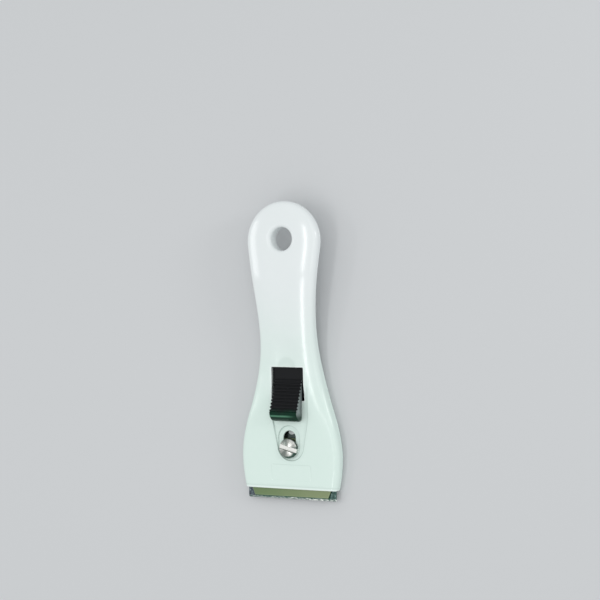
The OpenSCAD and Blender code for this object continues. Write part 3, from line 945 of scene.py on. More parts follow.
def paint(piece: bpy.types.Object, name: str, field: Callable[[Array, Array, Array], Array]) -> None:
    """Stores a number on each point of a piece, read from its place.

    Args:
        piece: The piece.
        name: The attribute's name.
        field: The number at each place.
    """
    flat = np.empty(3 * len(piece.data.vertices))
    piece.data.vertices.foreach_get("co", flat)
    x, y, z = flat.reshape(-1, 3).T / MM
    stored = piece.data.attributes.new(name, "FLOAT", "POINT")
    stored.data.foreach_set("value", field(x, y - MOUTH_Y, z))


def line_mask(gap: Array, width: float) -> Array:
    """Returns 1 on a line and a soft fall to 0 beside it, about as wide as the width."""
    return np.exp(-((gap / width) ** 2))


def joined(name: str, pieces: Sequence[bpy.types.Object], crease: float = CREASE) -> bpy.types.Object:
    """Returns one object of several, which are removed.

    Args:
        name: The new object's name.
        pieces: The objects.
        crease: The angle in degrees past which an edge is sharp.

    Returns:
        The joined object.
    """
    work = bmesh.new()
    for piece in pieces:
        work.from_mesh(piece.data)
        bpy.data.objects.remove(piece)
    mesh = bpy.data.meshes.new(name)
    work.to_mesh(mesh)
    work.free()
    return smooth_object(name, mesh, crease)


def turned(name: str, centre: tuple[float, float], profile: Sequence[tuple[float, float]], sides: int = 96,
           crease: float = CREASE) -> bpy.types.Object:
    """Returns a solid of revolution about an upright axis.

    Args:
        name: The object's name.
        centre: The axis, across and from the mouth.
        profile: Radius and height of each ring, from the lowest to the highest, ends on the axis.
        sides: Faces round.
        crease: The angle in degrees past which an edge is sharp.

    Returns:
        The object.
    """
    verts: list[tuple[float, float, float]] = []
    faces: list[tuple[int, ...]] = []
    for r, z in profile:
        for k in range(sides):
            a = 2 * math.pi * k / sides
            verts.append((centre[0] + r * math.cos(a), MOUTH_Y + centre[1] + r * math.sin(a), z))
    for j in range(len(profile) - 1):
        for k in range(sides):
            a, b = j * sides + k, j * sides + (k + 1) % sides
            faces.append((a, b, b + sides, a + sides))
    return solid_object(name, np.array(verts) * MM, faces, crease)


def coat(mesh: bpy.types.Mesh, finish: bpy.types.Material) -> None:
    """Gives a mesh one finish all over."""
    mesh.materials.clear()
    mesh.materials.append(finish)


def dress(piece: bpy.types.Object, finish: bpy.types.Material, body: Body, slot: Slot, *nodes: str) -> None:
    """Gives a new piece its finish, its body and the nodes that it stands for.

    Args:
        piece: The piece.
        finish: Its material.
        body: The body that it rides on.
        slot: The record's slot of its finish; not used.
        *nodes: The solids that it replaces.
    """
    coat(piece.data, finish)
    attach(piece, body.value)
    if nodes:
        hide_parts(*nodes)
    low, high = (Vector(c) for c in (piece.bound_box[0], piece.bound_box[6]))
    LOG.info("%s: %d faces, %s to %s mm", piece.name, len(piece.data.polygons),
             [round(c / MM, 2) for c in low], [round(c / MM, 2) for c in high])


# Geometry Nodes


class NodeRecipe:
    """A Geometry Nodes tree with named inputs, run once on an object and turned into a plain mesh."""

    def __init__(self, name: str) -> None:
        """Makes an empty tree with a geometry input and output.

        Args:
            name: The tree's name.
        """
        self.tree = bpy.data.node_groups.new(name, "GeometryNodeTree")
        self.tree.interface.new_socket("Geometry", in_out="INPUT", socket_type="NodeSocketGeometry")
        self.tree.interface.new_socket("Geometry", in_out="OUTPUT", socket_type="NodeSocketGeometry")
        self.given = self.tree.nodes.new("NodeGroupInput")
        self.result = self.tree.nodes.new("NodeGroupOutput")
        self.values: dict[str, object] = {}

    def input(self, name: str, kind: str, value: object) -> bpy.types.NodeSocket:
        """Adds a named input with the value that the modifier gets.

        Args:
            name: The input's name.
            kind: Its socket type.
            value: Its value.

        Returns:
            The socket inside the tree.
        """
        item = self.tree.interface.new_socket(name, in_out="INPUT", socket_type=kind)
        self.values[item.identifier] = value
        return self.given.outputs[name]

    def node(self, kind: str, settings: dict | None = None, inputs: dict | None = None) -> bpy.types.Node:
        """Adds a node to the tree; the arguments are those of add_node."""
        return add_node(self.tree, kind, settings, inputs)

    def run(self, source: bpy.types.Object, out: bpy.types.NodeSocket, material: bpy.types.Material,
            name: str, crease: float = CREASE) -> bpy.types.Object:
        """Ends the tree, runs it on an object and returns the result as a plain mesh.

        Args:
            source: The object that the tree works on, which is removed.
            out: The geometry that the tree ends with.
            material: The result's material.
            name: The result's name.
            crease: The angle in degrees past which an edge is sharp.

        Returns:
            The new object.
        """
        real = self.node("GeometryNodeRealizeInstances", None, {"Geometry": out})
        finish = self.input("Finish", "NodeSocketMaterial", material)
        inputs = {"Geometry": real.outputs[0], "Material": finish}
        painted = self.node("GeometryNodeSetMaterial", None, inputs)
        self.tree.links.new(painted.outputs[0], self.result.inputs[0])
        modifier = source.modifiers.new("shape", "NODES")
        modifier.node_group = self.tree
        for identifier, value in self.values.items():
            modifier[identifier] = value
        seen = source.evaluated_get(bpy.context.evaluated_depsgraph_get())
        mesh = bpy.data.meshes.new_from_object(seen)
        source.modifiers.remove(modifier)
        bpy.data.objects.remove(source)
        mesh.name = name
        return smooth_object(name, mesh, crease)


# Sub-assemblies


def smooth_through(stations: Sequence[tuple[float, float, float]], u: Array) -> Array:
    """Returns a smooth curve through stations.

    Args:
        stations: Distance, value and slope of each station.
        u: The distances to read it at.

    Returns:
        The values.
    """
    at = np.array(stations)
    i = np.clip(np.searchsorted(at[:, 0], u, side="right") - 1, 0, len(at) - 2)
    a, b = at[i], at[i + 1]
    w = b[..., 0] - a[..., 0]
    t = (u - a[..., 0]) / w
    return ((2 * t**3 - 3 * t**2 + 1) * a[..., 1] + (t**3 - 2 * t**2 + t) * w * a[..., 2]
            + (3 * t**2 - 2 * t**3) * b[..., 1] + (t**3 - t**2) * w * b[..., 2])


@dataclass
class Housing:
    """The two moulded shells, with the window, the screw's slot, the recesses and the hanging hole."""

    length: float = 116.2
    mouth_w: float = 41.8
    mouth_flare: float = 0.2
    # The hip, the shoulder and the neck: distance from the mouth and whole width.
    hip: tuple = (12.5, 44.6)
    shoulder: tuple = (32.0, 36.6)
    shoulder_taper: float = 0.345
    neck: tuple = (63.0, 24.8)
    head_r: float = 16.1
    head_taper: float = 0.125
    mouth_corner: float = 0.8
    mouth_t: float = 4.9
    # Where the front turns up: distance from the mouth and height.
    knee: tuple = (46.0, 7.5)
    lift: float = 7.6
    lift_from: float = 36.0
    lift_to: float = 92.0
    head_t: float = 5.6
    crown: float = 1.0
    crown_w: float = 10.0
    crown_fade: tuple = (20.0, 40.0)
    crown_least: float = 0.35
    front_r: float = 2.2
    back_r: float = 1.85
    edge_lean: float = 0.84
    joint_up: float = 2.0
    # The groove between the shells: share of the room above it, least and most width.
    joint_groove: tuple = (0.4, 0.015, 0.14)
    back_groove: float = 0.1
    wall: float = 1.6
    floor_t: float = 1.2
    hollow_u: float = 57.5
    hole_r: float = 4.7
    hole_round: float = 1.5
    hole_chamfer: float = 0.4
    eyelet_r: float = 6.2
    screw_u: float = 16.6
    travel: float = 4.3
    hole_back: float = 15.2
    slot_r: float = 2.8
    slot_rim_r: float = 0.18
    # The window and the panel: half width, start and end; the panel's corner and middle across follow.
    window: tuple = (7.2, 35.9, 49.4)
    window_corner: float = 0.3
    recess_hw: float = 8.2
    recess_knee: float = 28.8
    recess_top: float = 42.9
    recess_z: float = 5.95
    recess_depth: float = 0.4
    recess_end_u: float = 17.4
    recess_end_r: float = 6.0
    recess_x: float = 0.9
    recess_wall: float = 0.36
    # The ring round the slot: radius at the sides, radius at the ends and shift along the handle.
    ring: tuple = (4.95, 4.7, 0.25)
    ring_z: float = 5.15
    ring_wall: float = 0.3
    relief_r: float = 4.4
    relief_depth: float = 0.24
    relief_soft: float = 0.12
    lip_r: float = 0.45
    back_lip_r: float = 0.3
    rim_r: float = 0.4
    low_rim_r: float = 0.15
    rim_step: float = 0.3
    panel: tuple = (9.0, 3.4, 9.9, 0.9, 0.8)
    # The fine grooves: half width and depth.
    panel_groove: tuple = (0.16, 0.05)
    mouth_line_u: float = 1.15
    mouth_groove: tuple = (0.22, 0.035)
    step_w: float = 0.05
    room_spare: float = 0.2
    # The rooms that the slider moves in: half width, start, end at rest, and ceiling or floor.
    blade_room: tuple = (20.15, -1.0, 14.4, 2.9)
    plate_room: tuple = (18.6, -1.0, 20.5, 4.05)
    stem_room: tuple = (7.35, 16.6, 45.2, 4.6)
    tongue_room: tuple = (7.2, 35.9, 50.6, 6.2)
    carriage_room: tuple = (17.15, -1.0, 20.3, 1.2)
    strip_room: tuple = (6.15, 20.3, 41.0, 1.2)
    foot_room: tuple = (7.35, 31.7, 45.2, 2.25)
    # The room under the screw: radius and floor.
    screw_room: tuple = (3.95, 0.55)
    # The rooms of the two side pins: half width, start and end.
    pin_room: tuple = (3.0, 25.5, 39.0)
    pin_room_top: float = 4.6
    pin_room_x: float = 12.35
    pin_r: float = 1.4
    pin_chamfer: float = 0.3
    part_gap: float = 0.05
    pin_roof: float = 1.4
    socket_rise: float = 1.2
    socket_wall: float = 1.1
    socket_chamfer: float = 0.2
    weld: float = 0.2
    pin_places: tuple = ((0.0, 61.0), (0.0, 80.0), (12.35, 30.0), (-12.35, 30.0))

    def __post_init__(self) -> None:
        """Works out the outline and the features' plans."""
        self.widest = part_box("front_shell")[1].x / MM
        self.head_u = self.length - self.head_r
        lean = math.atan(self.head_taper)
        self.join = (self.head_r * math.cos(lean), self.head_u - self.head_r * math.sin(lean))
        self.lean = lean
        self.widths = [
            (0.0, self.mouth_w / 2, self.mouth_flare),
            (self.hip[0], self.hip[1] / 2, 0.0),
            (self.shoulder[0], self.shoulder[1] / 2, -self.shoulder_taper),
            (self.neck[0], self.neck[1] / 2, 0.0),
            (self.join[1], self.join[0], self.head_taper),
        ]
        slope = (self.knee[1] - self.mouth_t) / self.knee[0]
        near, far = -20.0, 2 * self.length
        high = self.lift + self.head_t
        self.backs = [(near, 0.0, 0.0), (self.lift_from, 0.0, 0.0)]
        self.backs += [(self.lift_to, self.lift, 0.0), (far, self.lift, 0.0)]
        self.fronts = [(near, self.mouth_t + near * slope, slope), (*self.knee, slope)]
        self.fronts += [(self.lift_to, high, 0.0), (far, high, 0.0)]
        self.side = self._side()
        self.hole = disc(self.length - self.hole_back, self.hole_r)
        half_run = self.travel / 2
        self.slot_u = self.screw_u + half_run
        self.slot = disc(self.slot_u, self.slot_r, run=half_run)
        side_r, end_r, shift = self.ring
        self.ring_plan = RoundBox(0.0, self.slot_u + shift, side_r, end_r + half_run, side_r)
        self.opening = box_between(*self.window, self.window_corner)
        self.frame_line = box_between(*self.panel)

    def half_width(self, u: Array) -> Array:
        """Returns half the width at a distance from the mouth."""
        return np.minimum(smooth_through(self.widths, u), self.widest)

    def _side(self) -> Array:
        """Returns the right side of the outline, from below the mouth to the hanging end's tip."""
        u = np.arange(-3.0, self.join[1], 0.55)
        turns = np.linspace(-self.lean, math.pi / 2, 46)
        head = np.stack([self.head_r * np.cos(turns), self.head_u + self.head_r * np.sin(turns)], 1)
        head[-1, 0] = 0.0
        return np.concatenate([np.stack([self.half_width(u), u], 1), head])

    def offset(self, inset: float) -> Array:
        """Returns the outline's open curve at a distance inside it, round both sides.

        Args:
            inset: The distance.

        Returns:
            Its points, from the right of the mouth to its left.
        """
        run = np.gradient(self.side, axis=0)
        run /= np.hypot(run[:, 0], run[:, 1])[:, None]
        run[-1] = (-1.0, 0.0)
        moved = self.side + inset * np.stack([-run[:, 1], run[:, 0]], 1)
        moved = moved[moved[:, 0] > 0.15]
        tip = np.array([[0.0, self.length - inset]])
        return np.concatenate([moved, tip, moved[::-1] * (-1, 1)])

    def outline(self) -> Array:
        """Returns the closed outline, with its small corners at the mouth."""
        turns = np.linspace(0, math.pi / 2, 7)
        u = self.mouth_corner * (1 - np.cos(turns))
        corner = np.stack([self.half_width(u) - self.mouth_corner * (1 - np.sin(turns)), u], 1)
        sides = self.side[self.side[:, 1] > self.mouth_corner + 0.05]
        right = np.concatenate([corner, sides[:-1]])
        loop = np.concatenate([right, sides[-1:], right[::-1] * (-1, 1)])
        return np.concatenate([loop, line_at(0.0, -corner[0, 0])[1:-1]])

    def inset(self, x: Array, u: Array) -> Array:
        """Returns the distance inside the sides."""
        return distance_to(self.side, np.abs(x), u)

    def crown_left(self, u: Array) -> Array:
        """Returns how much of the handle's crown is left at a distance from the mouth."""
        low, high = self.crown_fade
        return self.crown_least + (1 - self.crown_least) * smooth(share(u - low, high - low))

    def edge_at(self, u: Array) -> tuple[Array, Array]:
        """Returns how far in the rounded front edge starts, and how far it drops in all.

        Args:
            u: The distances from the mouth.

        Returns:
            The insets and the drops.
        """
        crown = self.crown * self.crown_left(u)
        lean = np.arctan(2 * crown / self.crown_w * (1 - self.edge_lean * self.front_r / self.crown_w))
        start = self.front_r * (1 - np.sin(lean))
        return start, crown * (1 - start / self.crown_w) ** 2 + self.front_r * np.cos(lean)

    def front_at(self, u: Array) -> Array:
        """Returns the height of the front's middle line."""
        return smooth_through(self.fronts, u)

    def back_at(self, u: Array) -> Array:
        """Returns the height of the back's middle line."""
        return smooth_through(self.backs, u)

    def joint_at(self, u: Array) -> Array:
        """Returns the height at which the two shells meet."""
        return self.back_at(u) + self.joint_up

    def groove_at(self, u: Array) -> Array:
        """Returns how wide the fine groove between the shells opens at the outline."""
        room = self.front_at(u) - self.edge_at(u)[1] - self.joint_at(u)
        part, least, most = self.joint_groove
        return np.clip(part * room, least, most)

    def recess_curve(self, inset: float) -> Array:
        """Returns the closed curve of the shallow recess round the button and the screw.

        Args:
            inset: The distance inside its edge.

        Returns:
            Its points; the last repeats the first.
        """
        hw, r = self.recess_hw - inset, self.recess_end_r - inset
        lean = math.atan((hw - r) / (self.recess_knee - self.recess_end_u))
        turns = np.linspace(-math.pi / 2, -lean, 26)
        arc = np.stack([r * np.cos(turns), self.recess_end_u + r * np.sin(turns)], 1)
        bend = [(hw - 0.02, self.recess_knee - 0.6), (hw, self.recess_knee + 0.3)]
        right = np.concatenate([arc, bend, [(hw, self.recess_top + 0.6)]])
        loop = np.concatenate([right, right[:0:-1] * (-1, 1)]) + (self.recess_x, 0.0)
        return closing([spaced(loop, 0.45, closed=True)])[0]

    def recess_inside(self, x: Array, u: Array) -> Array:
        """Returns the distance inside the recess, negative outside.

        Args:
            x: Places across.
            u: Places along.

        Returns:
            The distances.
        """
        loop = self.recess_curve(0.0)
        gap = distance_to(loop, x, u)
        return np.where(within(loop[:-1], np.stack([x, u], 1)), gap, -gap)

    def recess_floor(self, u: Array) -> Array:
        """Returns the height of the recess's floor along the handle.

        Args:
            u: The distances from the mouth.

        Returns:
            The heights.
        """
        low = self.screw_u - 2 * self.recess_end_r
        ends = [low, self.recess_knee, self.window[1] + 0.5, self.recess_top]
        tops = self.front_at(np.array([low, self.recess_top]))
        return np.interp(u, ends, [tops[0] - self.recess_depth, self.recess_z, self.recess_z, tops[1]])

    def skin(self, x: Array, u: Array) -> Array:
        """Returns the height of the plain crowned front with its rounded edge.

        Args:
            x: Places across.
            u: Places along.

        Returns:
            The heights.
        """
        d = self.inset(x, u)
        start, drop = self.edge_at(u)
        left = np.clip(self.front_r - d, 0, self.front_r)
        arc = drop - np.sqrt(np.maximum(self.front_r**2 - left**2, 0))
        crown = self.crown * self.crown_left(u) * (1 - np.minimum(d, self.crown_w) / self.crown_w) ** 2
        return self.front_at(u) - np.where(d < start, arc, crown)

    def front_face(self, x: Array, u: Array) -> Array:
        """Returns the height of the finished front.

        Args:
            x: Places across.
            u: Places along.

        Returns:
            The heights.
        """
        z = self.skin(x, u)
        sink = smooth(share(self.recess_inside(x, u), self.recess_wall))
        z -= np.maximum(z - self.recess_floor(u), 0) * sink
        sink = smooth(share(self.ring_plan.inside(x, u), self.ring_wall))
        z -= np.maximum(z - self.ring_z, 0) * sink
        z = self.relieved(z, x, u)
        z -= groove(np.abs(self.frame_line.inside(x, u)), *self.panel_groove)
        z -= eased(np.maximum(u, 0), self.lip_r)
        z -= groove(np.abs(u - self.mouth_line_u), *self.mouth_groove)
        z -= self.hole.lip(x, u, self.hole_round)
        high = self.recess_z + self.rim_step
        z -= self.opening.lip(x, u, self.rim_r) * (z > high)
        z -= self.opening.lip(x, u, self.low_rim_r) * (z <= high)
        return z - self.slot.lip(x, u, self.slot_rim_r)

    def relieved(self, z: Array, x: Array, u: Array) -> Array:
        """Returns the front's height with the thumb relief sunk softly into it.

        Args:
            z: The heights without it.
            x: Places across.
            u: Places along.

        Returns:
            The heights.
        """
        end = self.window[2]
        ball = ball_radius(self.relief_r, self.relief_depth)
        reach = np.maximum(ball**2 - x**2 - (u - end) ** 2, 0)
        dish = float(self.front_at(np.array(end))) - self.relief_depth + ball - np.sqrt(reach)
        blend = np.clip(0.5 + (z - dish) / (2 * self.relief_soft), 0, 1)
        return z + (dish - z) * blend - self.relief_soft * blend * (1 - blend)

    def window_wall_shadow(self, x: Array, u: Array, z: Array) -> Array:
        """Returns the painted shadow on the window's walls, strongest low down.

        Args:
            x: Places across.
            u: Places along.
            z: Heights.

        Returns:
            The painted shadow, 0 to 1.
        """
        wall = np.clip(1 + self.opening.inside(x, u) / 0.02, 0, 1)
        low = z < self.recess_z + 0.35
        return wall * np.where(low, 1.0, 0.45) * share(u - self.window[1], 1.5)

    def step_shade(self, x: Array, u: Array, _: Array) -> Array:
        """Returns the painted shade along the front's steps and grooves and in the thumb dish.

        Args:
            x: Places across.
            u: Places along.
            _: Heights, which don't matter.

        Returns:
            The painted shade, 0 to 1.
        """
        # painted shade lines at the recess, ring, slot, panel groove and mouth line, and painted shade in the
        # thumb dish
        recess = line_mask(self.recess_inside(x, u) - 0.16, 0.2) * share(41.0 - u, 9.0)
        ring = line_mask(self.ring_plan.inside(x, u) - 0.14, 0.17) * (self.recess_inside(x, u) > 0.2)
        slot = line_mask(self.slot.inside(x, u) + 0.05, 0.16)
        frame_line = line_mask(self.frame_line.inside(x, u), 0.16) * share(u - 4.5, 4.0)
        lip = line_mask(u - self.mouth_line_u, 0.2)
        dish = share(4.6 - np.hypot(x, u - self.window[2]), 1.0) * (u > self.window[2])
        parts = [0.55 * recess, 0.6 * ring, 0.5 * slot, 0.22 * frame_line, 0.3 * lip, 0.2 * dish]
        return np.maximum.reduce(parts)

    def bright(self, x: Array, u: Array, _: Array) -> Array:
        """Returns the painted highlight on the thin rims at the window and the mouth, 0 to 1."""
        window = line_mask(self.opening.inside(x, u), 0.42) * (np.abs(x) < 9.0)
        return np.maximum(0.9 * window, 0.8 * line_mask(u, 0.55))

    def rooms(self, moving: Sequence[tuple], pin_height: float) -> list[tuple[RoundBox, float]]:
        """Returns rooms in plan, each with the height of its ceiling or floor.

        Args:
            moving: Half width, start, end at rest and height of each room that the slider moves in.
            pin_height: The height in the rooms round the two side pins.

        Returns:
            The rooms with their heights.
        """
        reach = self.travel + self.room_spare
        made = [(box_between(half_w, low, high + reach), height) for half_w, low, high, height in moving]
        sides = (self.pin_room_x, -self.pin_room_x)
        return made + [(box_between(*self.pin_room, x=x), pin_height) for x in sides]

    def front_rooms(self) -> list[tuple[RoundBox, float]]:
        """Returns the rooms under the front shell, each with the height of its ceiling."""
        moving = [self.blade_room, self.plate_room, self.stem_room, self.tongue_room]
        return self.rooms(moving, self.pin_room_top)

    def front_under(self, x: Array, u: Array) -> Array:
        """Returns the height of the front shell's underside.

        Args:
            x: Places across.
            u: Places along.

        Returns:
            The heights.
        """
        d = self.inset(x, u)
        z = self.joint_at(u) + np.clip(self.groove_at(u) - d, 0, None)
        for room, ceiling in self.front_rooms():
            z += np.maximum(ceiling - z, 0) * share(room.inside(x, u), self.step_w)
        hollow = share(np.minimum(d - self.wall, u - self.hollow_u), self.step_w)
        z += np.maximum(self.front_at(u) - self.wall - z, 0) * hollow
        from_hole = -self.hole.inside(x, u)
        eyelet = share(self.eyelet_r - self.hole_r - from_hole, self.step_w)
        rim = self.lift + np.clip(self.hole_chamfer - from_hole, 0, None)
        return z + (rim - z) * eyelet

    def rear_rooms(self) -> list[tuple[RoundBox, float]]:
        """Returns the beds in the rear shell, each with the height of its floor."""
        r, floor = self.screw_room
        made = self.rooms([self.carriage_room, self.strip_room, self.foot_room], self.floor_t)
        return [*made, (disc(self.slot_u, r, run=self.travel / 2), floor)]

    def rear_inner(self, x: Array, u: Array) -> Array:
        """Returns the height of the rear shell's inner side.

        Args:
            x: Places across.
            u: Places along.

        Returns:
            The heights.
        """
        d = self.inset(x, u)
        z = self.joint_at(u) - np.clip(self.back_groove - d, 0, None)
        for room, floor in self.rear_rooms():
            z -= np.maximum(z - floor, 0) * share(room.inside(x, u), self.step_w)
        hollow = share(np.minimum(d - self.wall, u - self.hollow_u), self.step_w)
        return z - (z - self.back_at(u) - self.floor_t) * hollow

    def rear_face(self, x: Array, u: Array) -> Array:
        """Returns the height of the back, with its rounded edges."""
        z = self.back_at(u) + eased(self.inset(x, u), self.back_r)
        return z + eased(np.maximum(u, 0), self.back_lip_r)

    def pins(self) -> list[bpy.types.Object]:
        """Makes the front shell's pins, which stand in the rear shell's sockets.

        Returns:
            The pins.
        """
        made = []
        for k, place in enumerate(self.pin_places):
            at = np.array([place[1]])
            low = float(self.back_at(at)[0]) + self.floor_t + self.part_gap
            ceiling = float(self.front_under(np.array([place[0]]), at)[0])
            high = min(ceiling, float(self.front_at(at)[0]) - self.pin_roof) + self.weld
            r, cut = self.pin_r, self.pin_chamfer
            profile = [(0.0, low), (r - cut, low), (r, low + cut), (r, high), (0.0, high)]
            made.append(turned(f"pin_{k}", place, profile, 40))
        return made

    def sockets(self) -> list[bpy.types.Object]:
        """Makes the rear shell's sockets, open tubes round the pins.

        Returns:
            The sockets.
        """
        made = []
        for k, place in enumerate(self.pin_places):
            base = float(self.back_at(np.array([place[1]]))[0])
            low, high = base + self.floor_t - self.weld, base + self.joint_up + self.socket_rise
            inner = self.pin_r + self.part_gap
            outer, cut = inner + self.socket_wall, self.socket_chamfer
            profile = [(inner, low), (outer, low), (outer, high - cut), (outer - cut, high)]
            profile += [(inner + cut, high), (inner, high - cut), (inner, low)]
            made.append(turned(f"socket_{k}", place, profile, 40))
        return made

    def _lines_across(self, at_mouth: Sequence[float]) -> list[Array]:
        """Returns lines across the plan, near the mouth and where the hollow starts.

        Args:
            at_mouth: The first lines' distances from the mouth.

        Returns:
            The lines.
        """
        mouth_half, hollow_half, step = 21.5, 16.0, 0.8
        lines = [line_at(u, mouth_half, step) for u in at_mouth]
        return lines + [line_at(self.hollow_u + up, hollow_half, step) for up in (0.0, self.step_w)]

    def build(self, finishes: Finishes) -> None:
        """Makes both shells.

        Args:
            finishes: The materials.
        """
        arc = [self.front_r * (1 - math.cos(a)) for a in np.radians(np.arange(9, 82, 8))]
        crown = [2.3, 2.9, 3.6, 4.5, 5.6, 7.0, 8.6, 10.0]
        insets = [0.045, 0.09, 0.14, *arc, self.wall, self.wall + self.step_w, *crown]
        lines = [self.offset(d) for d in insets]
        at_mouth = (0.03, 0.1, 0.2, 0.32, 0.45, 0.6, 0.93, self.mouth_line_u, 1.37)
        lines += self._lines_across(at_mouth)
        lines += [self.recess_curve(i) for i in (-0.15, 0.0, 0.07, 0.14, 0.22, 0.29, 0.36, 0.5)]
        looped = [self.ring_plan.curve(i, 0.4) for i in (-0.12, 0.0, 0.06, 0.12, 0.18, 0.24, 0.3, 0.42)]
        looped += [self.slot.curve(-i, 0.35) for i in (0.03, 0.08, 0.18, 0.3)]
        looped += [self.opening.curve(-i, 0.5) for i in (0.03, 0.1, 0.22, 0.4, 0.55)]
        round_hole = (0.02, 0.08, 0.2, 0.37, 0.6, 0.88, 1.2, 1.45, 1.5, 1.55)
        looped += [self.hole.curve(-i, 0.5) for i in round_hole]
        looped += [self.hole.curve(-i, 0.6) for i in (self.hole_chamfer, 1.8, 2.1)]
        looped += [self.frame_line.curve(i, 0.5) for i in (-0.3, -0.16, 0.0, 0.16, 0.3)]
        looped += [disc(self.window[2], r).curve(0.0, 0.55) for r in (2.0, 3.0, 3.8, 4.4, 5.0, 5.6)]
        looped += [room.curve(i, 1.0) for room, _ in self.front_rooms() for i in (0.0, self.step_w)]
        lines += closing(looped)
        holes = [self.opening.curve(0.0, 0.5), self.slot.curve(0.0, 0.35), self.hole.curve(0.0, 0.5)]
        front = PlanSolid(self.outline(), holes, lines, 1.0)
        shell = front.build("front_shell_moulding", self.front_face, self.front_under)
        shell = joined("front_shell_moulding", [shell, *self.pins()])
        paint(shell, "painted_step_shade", self.step_shade)
        paint(shell, "rim_highlight", self.bright)
        paint(shell, "window_wall_shadow", self.window_wall_shadow)
        dress(shell, finishes.white, Body.HOUSING, Slot.HOUSING, "front_shell")

        insets = [0.03, 0.1, 0.2, 0.34, 0.52, 0.74, 1.0, 1.3, self.wall, self.wall + self.step_w, 1.85, 2.1]
        lines = [self.offset(d) for d in insets]
        lines += self._lines_across((0.03, 0.1, 0.2, 0.3, 0.4))
        lines += closing([room.curve(i, 1.0) for room, _ in self.rear_rooms() for i in (0.0, self.step_w)])
        eyelet_hole = disc(self.length - self.hole_back, self.eyelet_r + self.part_gap)
        rear = PlanSolid(self.outline(), [eyelet_hole.curve(0.0, 0.5)], lines, 1.6)
        shell = rear.build("rear_shell_moulding", self.rear_inner, self.rear_face)
        shell = joined("rear_shell_moulding", [shell, *self.sockets()])
        dress(shell, finishes.white, Body.HOUSING, Slot.HOUSING, "rear_shell")


